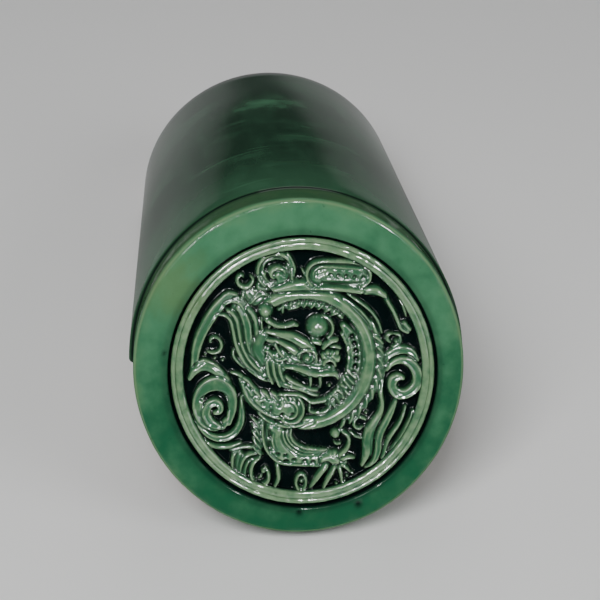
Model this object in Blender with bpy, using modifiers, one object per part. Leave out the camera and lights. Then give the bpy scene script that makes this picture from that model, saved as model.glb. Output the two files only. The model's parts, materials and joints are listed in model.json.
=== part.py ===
"""Half-round eaves tile of glazed clay with a coiled dragon on its round end disc.

Metres, +Z up. The tile lies as it comes to rest on a flat surface: on the foot of its disc, which
faces -Y, and on the two rear corners of its barrel. The origin is under the middle of the tile.

The barrel and the disc are first modelled level, in the tile's own frame: the barrel's axis runs
along Y, the bed edges lie in the plane Z = 0, and the middle of the disc's face is at Y = 0.
"""
import math

import bmesh
import bpy
import numpy as np
from mathutils import Matrix, Vector

TILE_NAME = "eaves_tile"

# Barrel
BARREL_RADIUS = 0.0640
BARREL_WALL = 0.0130
BARREL_LENGTH = 0.2360
BARREL_EDGE_ROUND = 0.0014
BARREL_SIDES = 32

# Tongue behind the shoulder, which the next tile up the roof covers
TONGUE_LENGTH = 0.0240
TONGUE_STEP = 0.0060
TONGUE_WALL = 0.0085
TONGUE_RUN_IN = 0.0120

# End disc
DISC_STEP = 0.0020
DISC_THICKNESS = 0.0160
DISC_SEAT = 0.0040
DISC_RAISE = 0.0012
DISC_EDGE_ROUND = 0.0022
DISC_SIDES = 60
FACE_LEAN = math.radians(11.5)
FILLET_RADIUS = 0.0080
FILLET_SWEEP = math.radians(80)
ROUND_STEPS = 4

# Medallion on the disc's face
RIM_WIDTH = 0.0118
MEDALLION_ASIDE = 0.0014
MEDALLION_DROP = 0.0018
GROOVE_WIDTH = 0.0013
GROOVE_DEPTH = 0.0032
RING_WIDTH = 0.0019
RING_DEPTH = 0.0008
RING_STEPS = 4
INNER_RING_WIDTH = 0.0031
INNER_RING_DEPTH = 0.0010
VALLEY_DEPTH = 0.0018
FIELD_DEPTH = 0.0042
RELIEF_HEIGHT = 0.0046

# The relief is drawn on a grid of its own, with this many units from the medallion's middle to its edge,
# turned a little on the disc and with its middle a little off the medallion's
DRAWING_UNITS = 67.2
DRAWING_TURN = math.radians(2.0)
DRAWING_ASIDE = -0.4
DRAWING_RISE = -0.8
DRAWING_HEIGHT = 5.0
EDGE_FADE = 1.5
RELIEF_RINGS = 84
SOFTENING_PASSES = 4
RELIEF_TRIANGLES = 5800

# How far the shapes reach into each other, or past the face, where they are joined or cut
MERGE_DISTANCE = 0.000001
JOINT_OVERLAP = 0.0040
SLAB_OVERLAP = 0.0010
CUT_REACH = 0.0020
FLOOR_GAP = 0.0004

GLAZE_GREEN = (0.035, 0.205, 0.085, 1.0)
GLAZE_ROUGHNESS = 0.12

DISC_RADIUS = BARREL_RADIUS - DISC_STEP
MEDALLION_RADIUS = DISC_RADIUS - RIM_WIDTH
RING_RADIUS = MEDALLION_RADIUS - GROOVE_WIDTH / 2
FIELD_RADIUS = RING_RADIUS - RING_WIDTH - INNER_RING_WIDTH
DISC_DEPTH = DISC_THICKNESS + DISC_SEAT
SHOULDER_Y = DISC_THICKNESS + BARREL_LENGTH
TONGUE_END_Y = SHOULDER_Y + TONGUE_LENGTH
INNER_RADIUS = BARREL_RADIUS - BARREL_WALL
TONGUE_RADIUS = BARREL_RADIUS - TONGUE_STEP
TONGUE_INNER_RADIUS = TONGUE_RADIUS - TONGUE_WALL


def clear_scene():
    """Empties the scene of whatever it opened with."""
    for thing in list(bpy.context.scene.objects):
        bpy.data.objects.remove(thing, do_unlink=True)


def smooth_path(points, count=32):
    """A Catmull-Rom curve through the points."""
    knots = np.array(points, float)
    knots = np.vstack([2 * knots[0] - knots[1], knots, 2 * knots[-1] - knots[-2]])
    spot = np.linspace(0, len(points) - 1, count)
    span = np.minimum(spot.astype(int), len(points) - 2)
    t = (spot - span)[:, None]
    a, b, c, d = (knots[span + k] for k in range(4))
    return 0.5 * (2 * b + (c - a) * t + (2 * a - 5 * b + 4 * c - d) * t**2 + (3 * b - a - 3 * c + d) * t**3)


def followed(path):
    """A path as places along it: a list of points is smoothed, and an array is taken as it is."""
    return smooth_path(path, 8 * len(path)) if isinstance(path, list) else path


def arc(centre, radius, start, end, count=32):
    """Points along a round or oval arc, its angles in degrees from the right, counter-clockwise."""
    angle = np.radians(np.linspace(start, end, count))
    wide, tall = np.broadcast_to(radius, 2)
    return np.stack([centre[0] + wide * np.cos(angle), centre[1] + tall * np.sin(angle)], axis=1)


# The cross-sections of a carved band
ROUND = "round"
FLAT = "flat"
RIBBON = "a bead along each edge and a hollow between them"


class Relief:
    """A height over the medallion's ground, worked out at given places of the drawing grid."""

    MOAT_FLOOR = 0.40
    BEAD = 0.75
    HOLLOW = 0.30

    def __init__(self, u, v):
        self.u = u
        self.v = v
        self.height = np.zeros_like(u)

    def nearest(self, path, half, reach):
        """The places near a path, how far outside its edge each lies, and the half-width beside it."""
        margin = half.max() + reach
        low = path.min(axis=0) - margin
        high = path.max(axis=0) + margin
        near = np.nonzero((self.u > low[0]) & (self.u < high[0]) & (self.v > low[1]) & (self.v < high[1]))[0]
        gap = np.full(len(near), np.inf)
        width = np.ones(len(near))
        for a, b, wide, next_wide in zip(path, path[1:], half, half[1:]):
            run = b - a
            du = self.u[near] - a[0]
            dv = self.v[near] - a[1]
            share = np.clip((du * run[0] + dv * run[1]) / max(run @ run, 1e-9), 0, 1)
            here = wide + (next_wide - wide) * share
            away = np.hypot(du - share * run[0], dv - share * run[1]) - here
            closer = away < gap
            gap[closer] = away[closer]
            width[closer] = here[closer]
        return near, gap, width

    def rise(self, gap, width, crown):
        """The height across a band as a share of its top, 0 at its edge."""
        if crown == RIBBON:
            lift = 1 - (1 - np.clip(-gap / self.BEAD, 0, 1))**2
            dip = np.clip(-gap / self.BEAD - 1, 0, 1)
            return lift - self.HOLLOW * dip * dip * (3 - 2 * dip)
        inward = np.clip(-gap / width, 0, 1)
        return 1 - (1 - inward)**(2 if crown == ROUND else 4)

    def band(self, path, widths, top, moat=0.7, crown=FLAT):
        """Lays a band along a path, over what is there, with a cut ditch beside it."""
        path = followed(path)
        half = np.interp(np.linspace(0, 1, len(path)), np.linspace(0, 1, len(widths)), widths)
        near, gap, width = self.nearest(path, half, moat)
        under = self.height[near]
        laid = np.maximum(top * self.rise(gap, width, crown), self.MOAT_FLOOR * under)
        ditch = under * (self.MOAT_FLOOR + (1 - self.MOAT_FLOOR) * np.clip(gap / moat, 0, 1))
        self.height[near] = np.where(gap < 0, laid, ditch)

    def ridge(self, path, widths, top, moat=0.55):
        """Lays a rounded ridge."""
        self.band(path, widths, top, moat, ROUND)

    def ball(self, centre, radius, top, crown=ROUND):
        """Lays a round knob, which is a band of no length."""
        self.band(np.array([centre, centre], float), [radius, radius], top, crown=crown)

    def knob(self, centre, radius, top):
        """Lays a round knob with a flat top."""
        self.ball(centre, radius, top, FLAT)

    def cut(self, path, width, depth):
        """Carves a line into what is there, its depth falling off as a bell across it."""
        path = followed(path)
        near, gap, _ = self.nearest(path, np.zeros(len(path)), 2.5 * width)
        self.height[near] = np.maximum(self.height[near] - depth * np.exp(-(gap / width)**2), 0)

    def pits(self, path, count, radius, depth):
        """Sinks a row of round pits, evenly along a path."""
        for place in np.linspace(0, len(path) - 1, count).round().astype(int):
            self.cut(path[[place, place]], radius, depth)


# The coil of the dragon's body: its centre line on the drawing grid, in degrees from the right
COIL_CENTRE = (0.5, 5.5)
COIL_RADIUS = 32.5
COIL_HALF = 3.7
COIL_START = 124
COIL_END = -118


def round_coil(off, start, end, count=32):
    """The coil's centre line, or a line beside it, between two angles."""
    return arc(COIL_CENTRE, COIL_RADIUS + off, start, end, count)


def draw_left_clouds(relief):
    """The long leaf by the ring, the hook over it, and the great scroll with the bands round it."""
    relief.band([(-29, 38.5), (-25, 35), (-21, 35)], [2.6, 4.4, 3.0], 2.3, moat=0.4)
    relief.band([(-34, 36.6), (-38, 36), (-43.6, 30), (-48.2, 23.4), (-51.8, 16.5), (-53.9, 9.5),
                 (-54.8, 3), (-56.8, -4)], [1.4, 2.5, 3.0, 2.9, 2.7, 2.4, 1.9, 1.1], 3.8, crown=RIBBON)
    relief.ridge([(-30.6, 37.4), (-30.6, 35.6), (-30, 33.8)], [0.6, 0.7, 0.5], 3.2)
    relief.ridge([(-29.2, 38.2), (-27.8, 36), (-26.4, 34.6)], [0.6, 0.9, 0.7], 3.4)
    relief.ridge([(-29.6, 31), (-26.6, 33), (-23.6, 36), (-20.6, 37.2), (-17.6, 36.4)],
                 [0.7, 0.9, 1.0, 0.9, 0.6], 3.4)
    relief.ridge([(-26.6, 40), (-24.4, 38.6), (-22, 39.6)], [0.5, 0.7, 0.5], 3.0)
    relief.band([(-30.4, 45.4), (-31.4, 46.6), (-33, 45.8), (-33.4, 43.6), (-32, 41.4), (-29.2, 40.6),
                 (-26.8, 42), (-25.6, 44.6), (-27, 46.2)], [0.5, 0.9, 1.2, 1.4, 1.4, 1.4, 1.4, 1.0, 0.4],
                4.0, crown=ROUND)
    relief.ridge([(-46.8, 13.6), (-46.4, 15.4), (-44.2, 16), (-42.2, 14.6), (-41.2, 12.2), (-41.8, 9.8),
                  (-43.6, 8.4), (-46, 8.2), (-48.4, 8.8)], [1.0, 1.0, 0.9, 0.9, 1.1, 1.1, 1.0, 1.0, 0.5],
                 3.4)
    for dot in ((-49.3, 7.2), (-44.6, 5.4), (-40.6, 4.4)):
        relief.ball(dot, 0.9, 3.0)
    relief.band([(-57.2, -4.6), (-54.4, -0.6), (-50.6, 1.8), (-46.6, 1), (-42.6, -1.6), (-39, -5.4),
                 (-36, -10)], [1.2, 2.4, 3.1, 3.0, 2.8, 2.4, 1.2], 3.4, crown=FLAT)
    relief.ridge([(-54.4, 1.8), (-51, 4.6), (-47, 3.8), (-43, 1.4), (-39.6, -2)], [0.5, 0.7, 0.7, 0.6, 0.4],
                 3.9, moat=0.4)
    relief.band([(-54.8, -29), (-51, -34.4), (-46.6, -37.7), (-41.6, -38.8), (-36.6, -38.4),
                 (-31.4, -36.8)], [0.5, 1.1, 1.5, 1.6, 1.5, 0.7], 2.8, crown=FLAT)
    relief.band([(-31.4, -13.5), (-31, -20), (-31.4, -26), (-34, -31), (-38, -33.8), (-43, -34.4),
                 (-48, -32.4), (-52, -28.4), (-55.4, -22.6)], [0.6, 1.6, 1.9, 2.0, 2.0, 1.9, 1.7, 1.3, 0.5],
                3.3, crown=RIBBON)
    relief.band([(-37.4, -26.4), (-35.9, -18.5), (-37.6, -11), (-43.6, -7.2), (-50.2, -9.8), (-53.3, -17),
                 (-51.4, -24), (-46.4, -28), (-41.2, -28), (-38.4, -25)],
                [1.6, 2.7, 3.4, 4.1, 3.3, 2.8, 2.7, 2.5, 2.4, 1.4], 4.0, crown=RIBBON)
    relief.band([(-42.4, -28.4), (-46.6, -26.4), (-48.9, -22), (-47.6, -17.8), (-44.4, -16.2), (-42, -17.8),
                 (-42, -20.6), (-44.8, -21.6)], [1.6, 2.4, 2.4, 2.3, 2.2, 1.9, 1.7, 1.0], 3.9, moat=0.7,
                crown=RIBBON)
    relief.cut([(-51, -14.6), (-47, -11.6), (-42.4, -11.2), (-38.8, -14), (-38.2, -20)], 0.7, 2.6)
    relief.cut([(-41.6, -24.8), (-41.4, -26.6)], 0.9, 2.8)


def draw_lower_clouds(relief):
    """The strands and scrolls along the foot of the field, from left to middle."""
    relief.band([(-33, -41), (-31, -47), (-31.4, -54)], [2.0, 4.2, 3.4], 2.5, moat=0.4)
    relief.ridge([(-32, -39.4), (-34.8, -42), (-35.7, -46), (-35.4, -51)], [0.8, 1.4, 1.2, 0.6], 3.6)
    relief.ridge([(-37, -40.8), (-32, -39.2), (-26.6, -38.8), (-22.6, -40), (-20, -43)],
                 [0.6, 0.9, 1.1, 1.0, 0.5], 3.2)
    relief.ridge([(-22.6, -42.2), (-26.4, -42.2), (-29.8, -44.4), (-31.4, -48.6), (-32, -54)],
                 [0.6, 1.3, 1.4, 1.1, 0.5], 3.6)
    relief.ridge([(-24, -44.2), (-27.4, -46), (-29.2, -50), (-29.2, -55)], [0.6, 1.1, 1.1, 0.6], 3.1)
    relief.ridge([(-27.4, -56), (-26, -59.4), (-22, -61)], [0.6, 1.0, 0.8], 2.8)
    relief.band([(-19, -49.4), (-17.4, -52.6), (-18, -56.4), (-21.4, -58), (-25, -55.8), (-26.3, -51),
                 (-24.9, -46.6), (-21.6, -43.8)], [0.9, 1.3, 1.4, 1.4, 1.4, 1.4, 1.4, 0.8], 3.8,
                crown=ROUND)
    relief.ball((-20, -51), 1.6, 3.2)
    relief.ridge([(-20.8, -53.4), (-22.4, -54.8)], [0.8, 0.6], 2.8)
    relief.band([(-13.2, -46.6), (-12.6, -51), (-12.4, -55), (-14.2, -59)], [1.2, 1.4, 1.4, 0.7], 3.2,
                crown=FLAT)
    relief.band(arc((-1, -56.6), (2.5, 4.2), 40, 400), [1.1, 1.1], 3.6, crown=ROUND)
    relief.ball((-0.8, -56.2), 1.3, 3.2)
    relief.ridge([(-4.5, -60.5), (-1, -61.8), (3, -60.5)], [0.7, 1.0, 0.7], 2.6)


def draw_right_clouds(relief):
    """The right scroll, the streams that fall from its stem, and the small curls beside it."""
    relief.ridge([(55.4, -20.6), (54, -25), (51.6, -30), (48.4, -35.6), (45, -40), (42, -45)],
                 [0.6, 1.1, 1.4, 1.4, 1.2, 0.6], 3.0)
    relief.ridge([(51.6, -18.6), (50.4, -23), (48, -28), (44.6, -32.8), (42.4, -37), (41, -42),
                  (39.6, -45)], [0.7, 1.1, 1.4, 1.5, 1.4, 1.3, 0.6], 3.4)
    relief.band([(46.6, -15.6), (44.4, -21), (42, -26), (39.6, -30.6), (38.2, -35.6), (37.8, -41),
                 (35.8, -46), (31.4, -49.6)], [1.2, 1.7, 1.9, 2.0, 2.0, 1.9, 1.5, 0.6], 3.6, crown=RIBBON)
    relief.band([(41.4, 4), (40, -1), (39.1, -6), (38.8, -11), (39.6, -17), (38.6, -22), (36, -26.4),
                 (33.6, -31), (32.6, -36.6), (32.4, -42), (29.6, -48.4)],
                [1.4, 1.4, 1.4, 1.4, 1.5, 1.8, 2.4, 3.0, 3.2, 2.9, 0.7], 3.8)
    relief.cut([(38.8, -22.6), (35.6, -29), (34.2, -36), (34, -42), (31.6, -47.4)], 0.4, 1.1)
    relief.cut([(32.4, -31), (31.2, -37), (30.8, -43)], 0.35, 0.8)
    relief.band([(39.6, 1.6), (41.6, 5.8), (45.4, 8.7), (50, 9.8), (54.6, 8.2), (57.6, 4.4)],
                [1.0, 1.9, 2.2, 2.3, 2.0, 1.0], 3.3, crown=RIBBON)
    relief.band([(41.6, -0.6), (44.4, 3.2), (49, 4.8), (53.4, 3.4), (56.6, -0.4), (57.6, -5), (55.8, -9.2),
                 (51.6, -12), (47.2, -12), (44.9, -9), (45, -5.4), (47.6, -3.6), (50.4, -4.4)],
                [0.7, 1.5, 1.9, 2.5, 2.8, 2.8, 2.7, 2.6, 2.7, 2.6, 2.5, 1.9, 1.0], 4.2, moat=0.8,
                crown=RIBBON)
    relief.cut([(46.4, -7.4), (47.2, -9.8), (49, -11.8)], 0.5, 1.2)
    relief.band([(44.6, 17.6), (42.4, 17.4), (41.8, 15), (43.4, 13.4)], [0.6, 1.1, 1.3, 0.8], 3.2,
                crown=ROUND)
    relief.ridge([(45.6, 17.4), (48, 17), (48.4, 13.8), (46.6, 12), (44, 11.2)], [0.6, 0.9, 1.1, 0.9, 0.5],
                 3.2)
    relief.ball((46.4, 13.9), 1.4, 3.3)
    relief.band([(31.6, -25.4), (30.6, -24.6), (28, -24.2), (25.8, -25.8), (25.8, -28.4), (28, -29.8),
                 (30, -28.8)], [0.7, 1.0, 1.0, 1.1, 1.1, 1.1, 0.5], 3.4, crown=ROUND)
    relief.ball((31.6, -22), 1.0, 2.8)
    relief.ridge([(24, -31.4), (26.2, -33.6), (29.4, -34.8)], [0.6, 0.9, 0.6], 3.0)


def draw_upper_clouds(relief):
    """The round boss at the upper left and the strokes between it and the scaled pad."""
    relief.band([(-22, 41), (-12, 41.4), (-2, 42), (5, 43)], [2.6, 3.8, 3.8, 2.6], 2.8, moat=0.4)
    relief.knob((-14.4, 48.4), 10.0, 2.9)
    relief.band(arc((-14.4, 48.4), (8.9, 8.8), 236, -50, 64), [0.9, 1.3, 1.5, 1.6, 1.5, 1.2], 3.8,
                crown=ROUND)
    for row in range(4):
        relief.ridge([(-23 + 1.4 * row, 46.4 - 1.4 * row), (-20.6 + 1.4 * row, 44.2 - 1.5 * row),
                      (-18.4 + 1.3 * row, 41.2 - 1.1 * row)], [0.5, 0.7, 0.4], 3.3, moat=0.5)
    relief.knob((-12.8, 46.6), 5.6, 3.6)
    relief.cut([(-19.4, 49), (-18, 51.6), (-14, 53), (-10, 52.2)], 1.1, 3.4)
    relief.band(arc((-13.2, 47.2), (3.6, 3.0), 10, 240), [0.9, 1.5, 1.7, 0.9], 4.1, moat=0.5, crown=ROUND)
    relief.cut([(-18.6, 46.4), (-17, 44.6), (-14.4, 43.8)], 0.8, 2.4)
    relief.ridge([(-8.6, 57.4), (-6.4, 54), (-5, 50.6), (-4.6, 47.6)], [0.7, 0.8, 0.8, 0.4], 3.5)
    relief.ridge([(-6.8, 50), (-6.4, 45.6), (-4.6, 42.2), (-2, 40.8)], [0.5, 0.9, 1.1, 0.6], 3.6)
    relief.ridge([(-1.2, 49.6), (0.6, 45.6), (2.2, 42.8), (3.8, 40.8)], [0.5, 0.9, 1.1, 0.5], 3.6)
    relief.cut([(-3, 47.6), (-2.2, 44.6)], 1.2, 2.2)


def draw_mane(relief):
    """The locks that stream back and down from the head."""
    relief.band([(-33.4, 33.6), (-31, 26), (-29.4, 18), (-27.4, 10), (-24.8, 3.4), (-19, -3.4)],
                [3.0, 6.6, 7.4, 7.2, 5.4, 1.6], 2.7, moat=0.4)
    relief.band([(-28, 30), (-25.6, 27), (-24.2, 23), (-23.4, 17.6), (-22, 12), (-19.8, 7.6)],
                [1.6, 2.0, 1.9, 1.8, 1.6, 0.8], 3.6, crown=ROUND)
    relief.ridge([(-21.4, 25.2), (-21, 20), (-20, 15.6), (-18, 12)], [0.6, 1.0, 1.0, 0.6], 3.4)
    relief.band([(-33.4, 31), (-30.2, 27), (-28.4, 21.6), (-27.6, 15), (-26, 9.2), (-22.6, 4)],
                [1.2, 2.1, 2.3, 2.1, 1.8, 0.8], 3.7, crown=RIBBON)
    relief.ridge([(-25.6, 14.6), (-24.6, 9.4), (-21.4, 5.8), (-18.6, 5.6)], [0.5, 0.9, 1.0, 0.6], 3.8)
    relief.ridge([(-39.4, 32.6), (-35.8, 33.8), (-32, 32.4), (-29.4, 28.6)], [1.0, 1.1, 1.0, 0.5], 3.8)
    relief.band([(-38.4, 29.4), (-35.6, 27.6), (-33.4, 23.6), (-32.6, 18), (-31.4, 12.4), (-29, 7),
                 (-25.2, 2.2), (-20.4, -1.8)], [1.0, 1.7, 1.7, 1.6, 1.5, 1.6, 1.4, 0.5], 4.0, crown=ROUND)
    relief.band([(-43.2, 27.2), (-39.6, 26.9), (-36.8, 24.4), (-35.4, 19.6), (-34.2, 13.6), (-31.8, 7.4),
                 (-28.4, 2), (-23.6, -2.2)], [0.6, 1.1, 1.4, 1.4, 1.5, 1.6, 1.4, 0.6], 3.8, crown=ROUND)
    relief.ridge([(-35.4, 9.6), (-35.2, 6.6), (-33, 3.6), (-29.6, 0.6)], [0.7, 1.1, 1.1, 0.6], 3.2)
    relief.ridge([(-28.6, 0.4), (-24.6, -2.6), (-21, -4.9), (-16.6, -6.4)], [0.6, 0.8, 0.8, 0.4], 3.2)
    for root, tip in (((-33.8, 20), (-32.6, 13)), ((-30.4, 22), (-29.4, 13.6)),
                      ((-25.6, 24), (-25.4, 15.6))):
        relief.cut([root, tip], 0.35, 1.2)


def draw_coil(relief):
    """The coiled body, the fringe along its back and the comb along its belly."""
    relief.band(round_coil(5.2, 30, -54), [1.0, 2.6, 3.0, 2.8, 1.2], 2.6, moat=0.5)
    for angle in np.arange(18, -56, -8.2):
        relief.ridge(np.array([round_coil(3.4, angle, angle, 1)[0],
                               round_coil(5.6, angle - 3, angle - 3, 1)[0],
                               round_coil(7.6, angle - 8, angle - 8, 1)[0]]), [1.5, 1.3, 0.5], 3.3,
                     moat=0.6)
    relief.band(round_coil(-5.0, 118, 48), [1.4, 2.6, 2.4, 1.4], 2.6, moat=0.5)
    relief.band(round_coil(-7.4, 40, -60), [2.0, 4.8, 5.4, 5.2, 4.4, 3.2], 2.8, moat=0.5)
    for angle in np.arange(112, 50, -8.4):
        relief.ridge(np.array([round_coil(-3.0, angle, angle, 1)[0],
                               round_coil(-7.6, angle + 5, angle + 5, 1)[0]]), [1.4, 0.6], 3.4, moat=0.9)
    relief.ridge([(-8, 29.6), (-5, 30.4), (-2.6, 31)], [0.6, 0.9, 0.6], 3.2)
    relief.band(round_coil(-10.6, 34, -26), [0.6, 1.0, 1.0, 0.6], 3.6, moat=0.4, crown=ROUND)
    for row, (start, end, count) in enumerate(((24, -18, 6), (16, -20, 4))):
        relief.pits(round_coil(-6.6 - 5.6 * row, start, end, 97), count, 1.6, 3.4)
    for angle in np.arange(-22, -66, -6.0):
        relief.ridge(np.array([round_coil(-3.2, angle, angle, 1)[0],
                               round_coil(-10.4, angle + 6, angle + 6, 1)[0]]), [1.1, 0.6], 3.7, moat=0.8)
    relief.band(round_coil(0, COIL_START, COIL_END, 64), [3.2, 3.9, COIL_HALF, COIL_HALF, 4.0, COIL_HALF,
                                                          3.4, 3.0], 4.6)
    relief.cut(round_coil(2.5, 60, -62, 64), 0.4, 0.6)
    relief.cut(round_coil(-2.5, 100, -84, 64), 0.4, 0.6)


def draw_hind_leg(relief):
    """The scaled pad of the thigh, the folded shank at the upper right, and the spines beside the coil."""
    relief.ridge([(19.4, 35.6), (24.6, 31.8), (29, 28), (32.6, 23.6), (33.8, 19.4)],
                 [0.7, 1.0, 1.2, 1.0, 0.5], 3.0)
    relief.ridge([(21.6, 37.4), (26.4, 34.2), (31.4, 30.6), (35, 27), (37.6, 22.6), (39.2, 17.6)],
                 [0.7, 1.0, 1.0, 1.0, 0.9, 0.4], 3.6)
    relief.ridge([(46.4, 37.4), (48.6, 34.2), (50, 30.4), (51.4, 26)], [0.7, 1.1, 1.0, 0.5], 3.0)
    relief.band([(50.4, 22.6), (52.8, 19.6)], [1.6, 1.6], 2.8)
    relief.ridge([(40, 36.8), (42.4, 32.8), (44.8, 28.8), (46.8, 24.4), (48.8, 20.2), (52.4, 18.2)],
                 [1.9, 1.4, 1.3, 1.2, 1.2, 0.8], 3.9)
    relief.band([(27.6, 39), (32, 39.2), (36, 38.8), (40, 36.8)], [2.2, 2.6, 2.7, 1.8], 4.0, crown=FLAT)
    relief.cut([(30, 38.4), (35, 37.6), (39, 36)], 0.4, 0.9)
    relief.band([(-15, 39.6), (-6, 41.2), (6, 41.8), (18, 41.2), (28, 39.4)], [1.6, 2.8, 3.2, 3.2, 2.4],
                4.2, moat=0.2)
    relief.band([(7.5, 47.2), (16, 47.4), (27, 46.4)], [6.2, 6.4, 6.2], 3.2, moat=0.3)
    relief.cut([(8.5, 43), (15, 42.4), (22, 42.4), (28, 43)], 0.6, 1.6)
    relief.ridge([(9, 44.4), (16, 44.5), (23, 44.2), (29, 43.8)], [0.5, 0.8, 0.8, 0.5], 3.9, moat=0.4)
    relief.ridge([(4.2, 45.6), (4.6, 48.6), (7.6, 50.7), (13, 50.8), (20, 50.4), (26.6, 49.8),
                  (29.8, 47.6)], [0.5, 0.8, 0.9, 0.8, 0.8, 0.8, 0.4], 3.8, moat=0.5)
    relief.ridge([(6.6, 46.8), (8.4, 48.6), (11, 48.4)], [0.5, 0.8, 0.5], 3.7, moat=0.4)
    relief.ridge([(4, 41.4), (1.6, 44.4), (1.4, 48.8), (4.2, 52.4), (9, 53.6), (16, 53.6), (24, 53.2),
                  (30, 51.6), (32.8, 47.8), (32.2, 43.8), (28.6, 41)],
                 [0.8, 1.0, 1.1, 1.2, 1.2, 1.2, 1.2, 1.2, 1.2, 1.1, 0.8], 4.4, moat=0.6)
    for place in range(5):
        relief.band(arc((13 + 4.1 * place, 46.4 - 0.25 * place), (1.9, 1.9), 205, -25), [0.5, 0.6, 0.5],
                    3.8, moat=0.4, crown=ROUND)
    relief.pits(smooth_path([(13, 46.6), (21, 46.1), (29.4, 45.4)], 61), 5, 0.9, 2.8)


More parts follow.
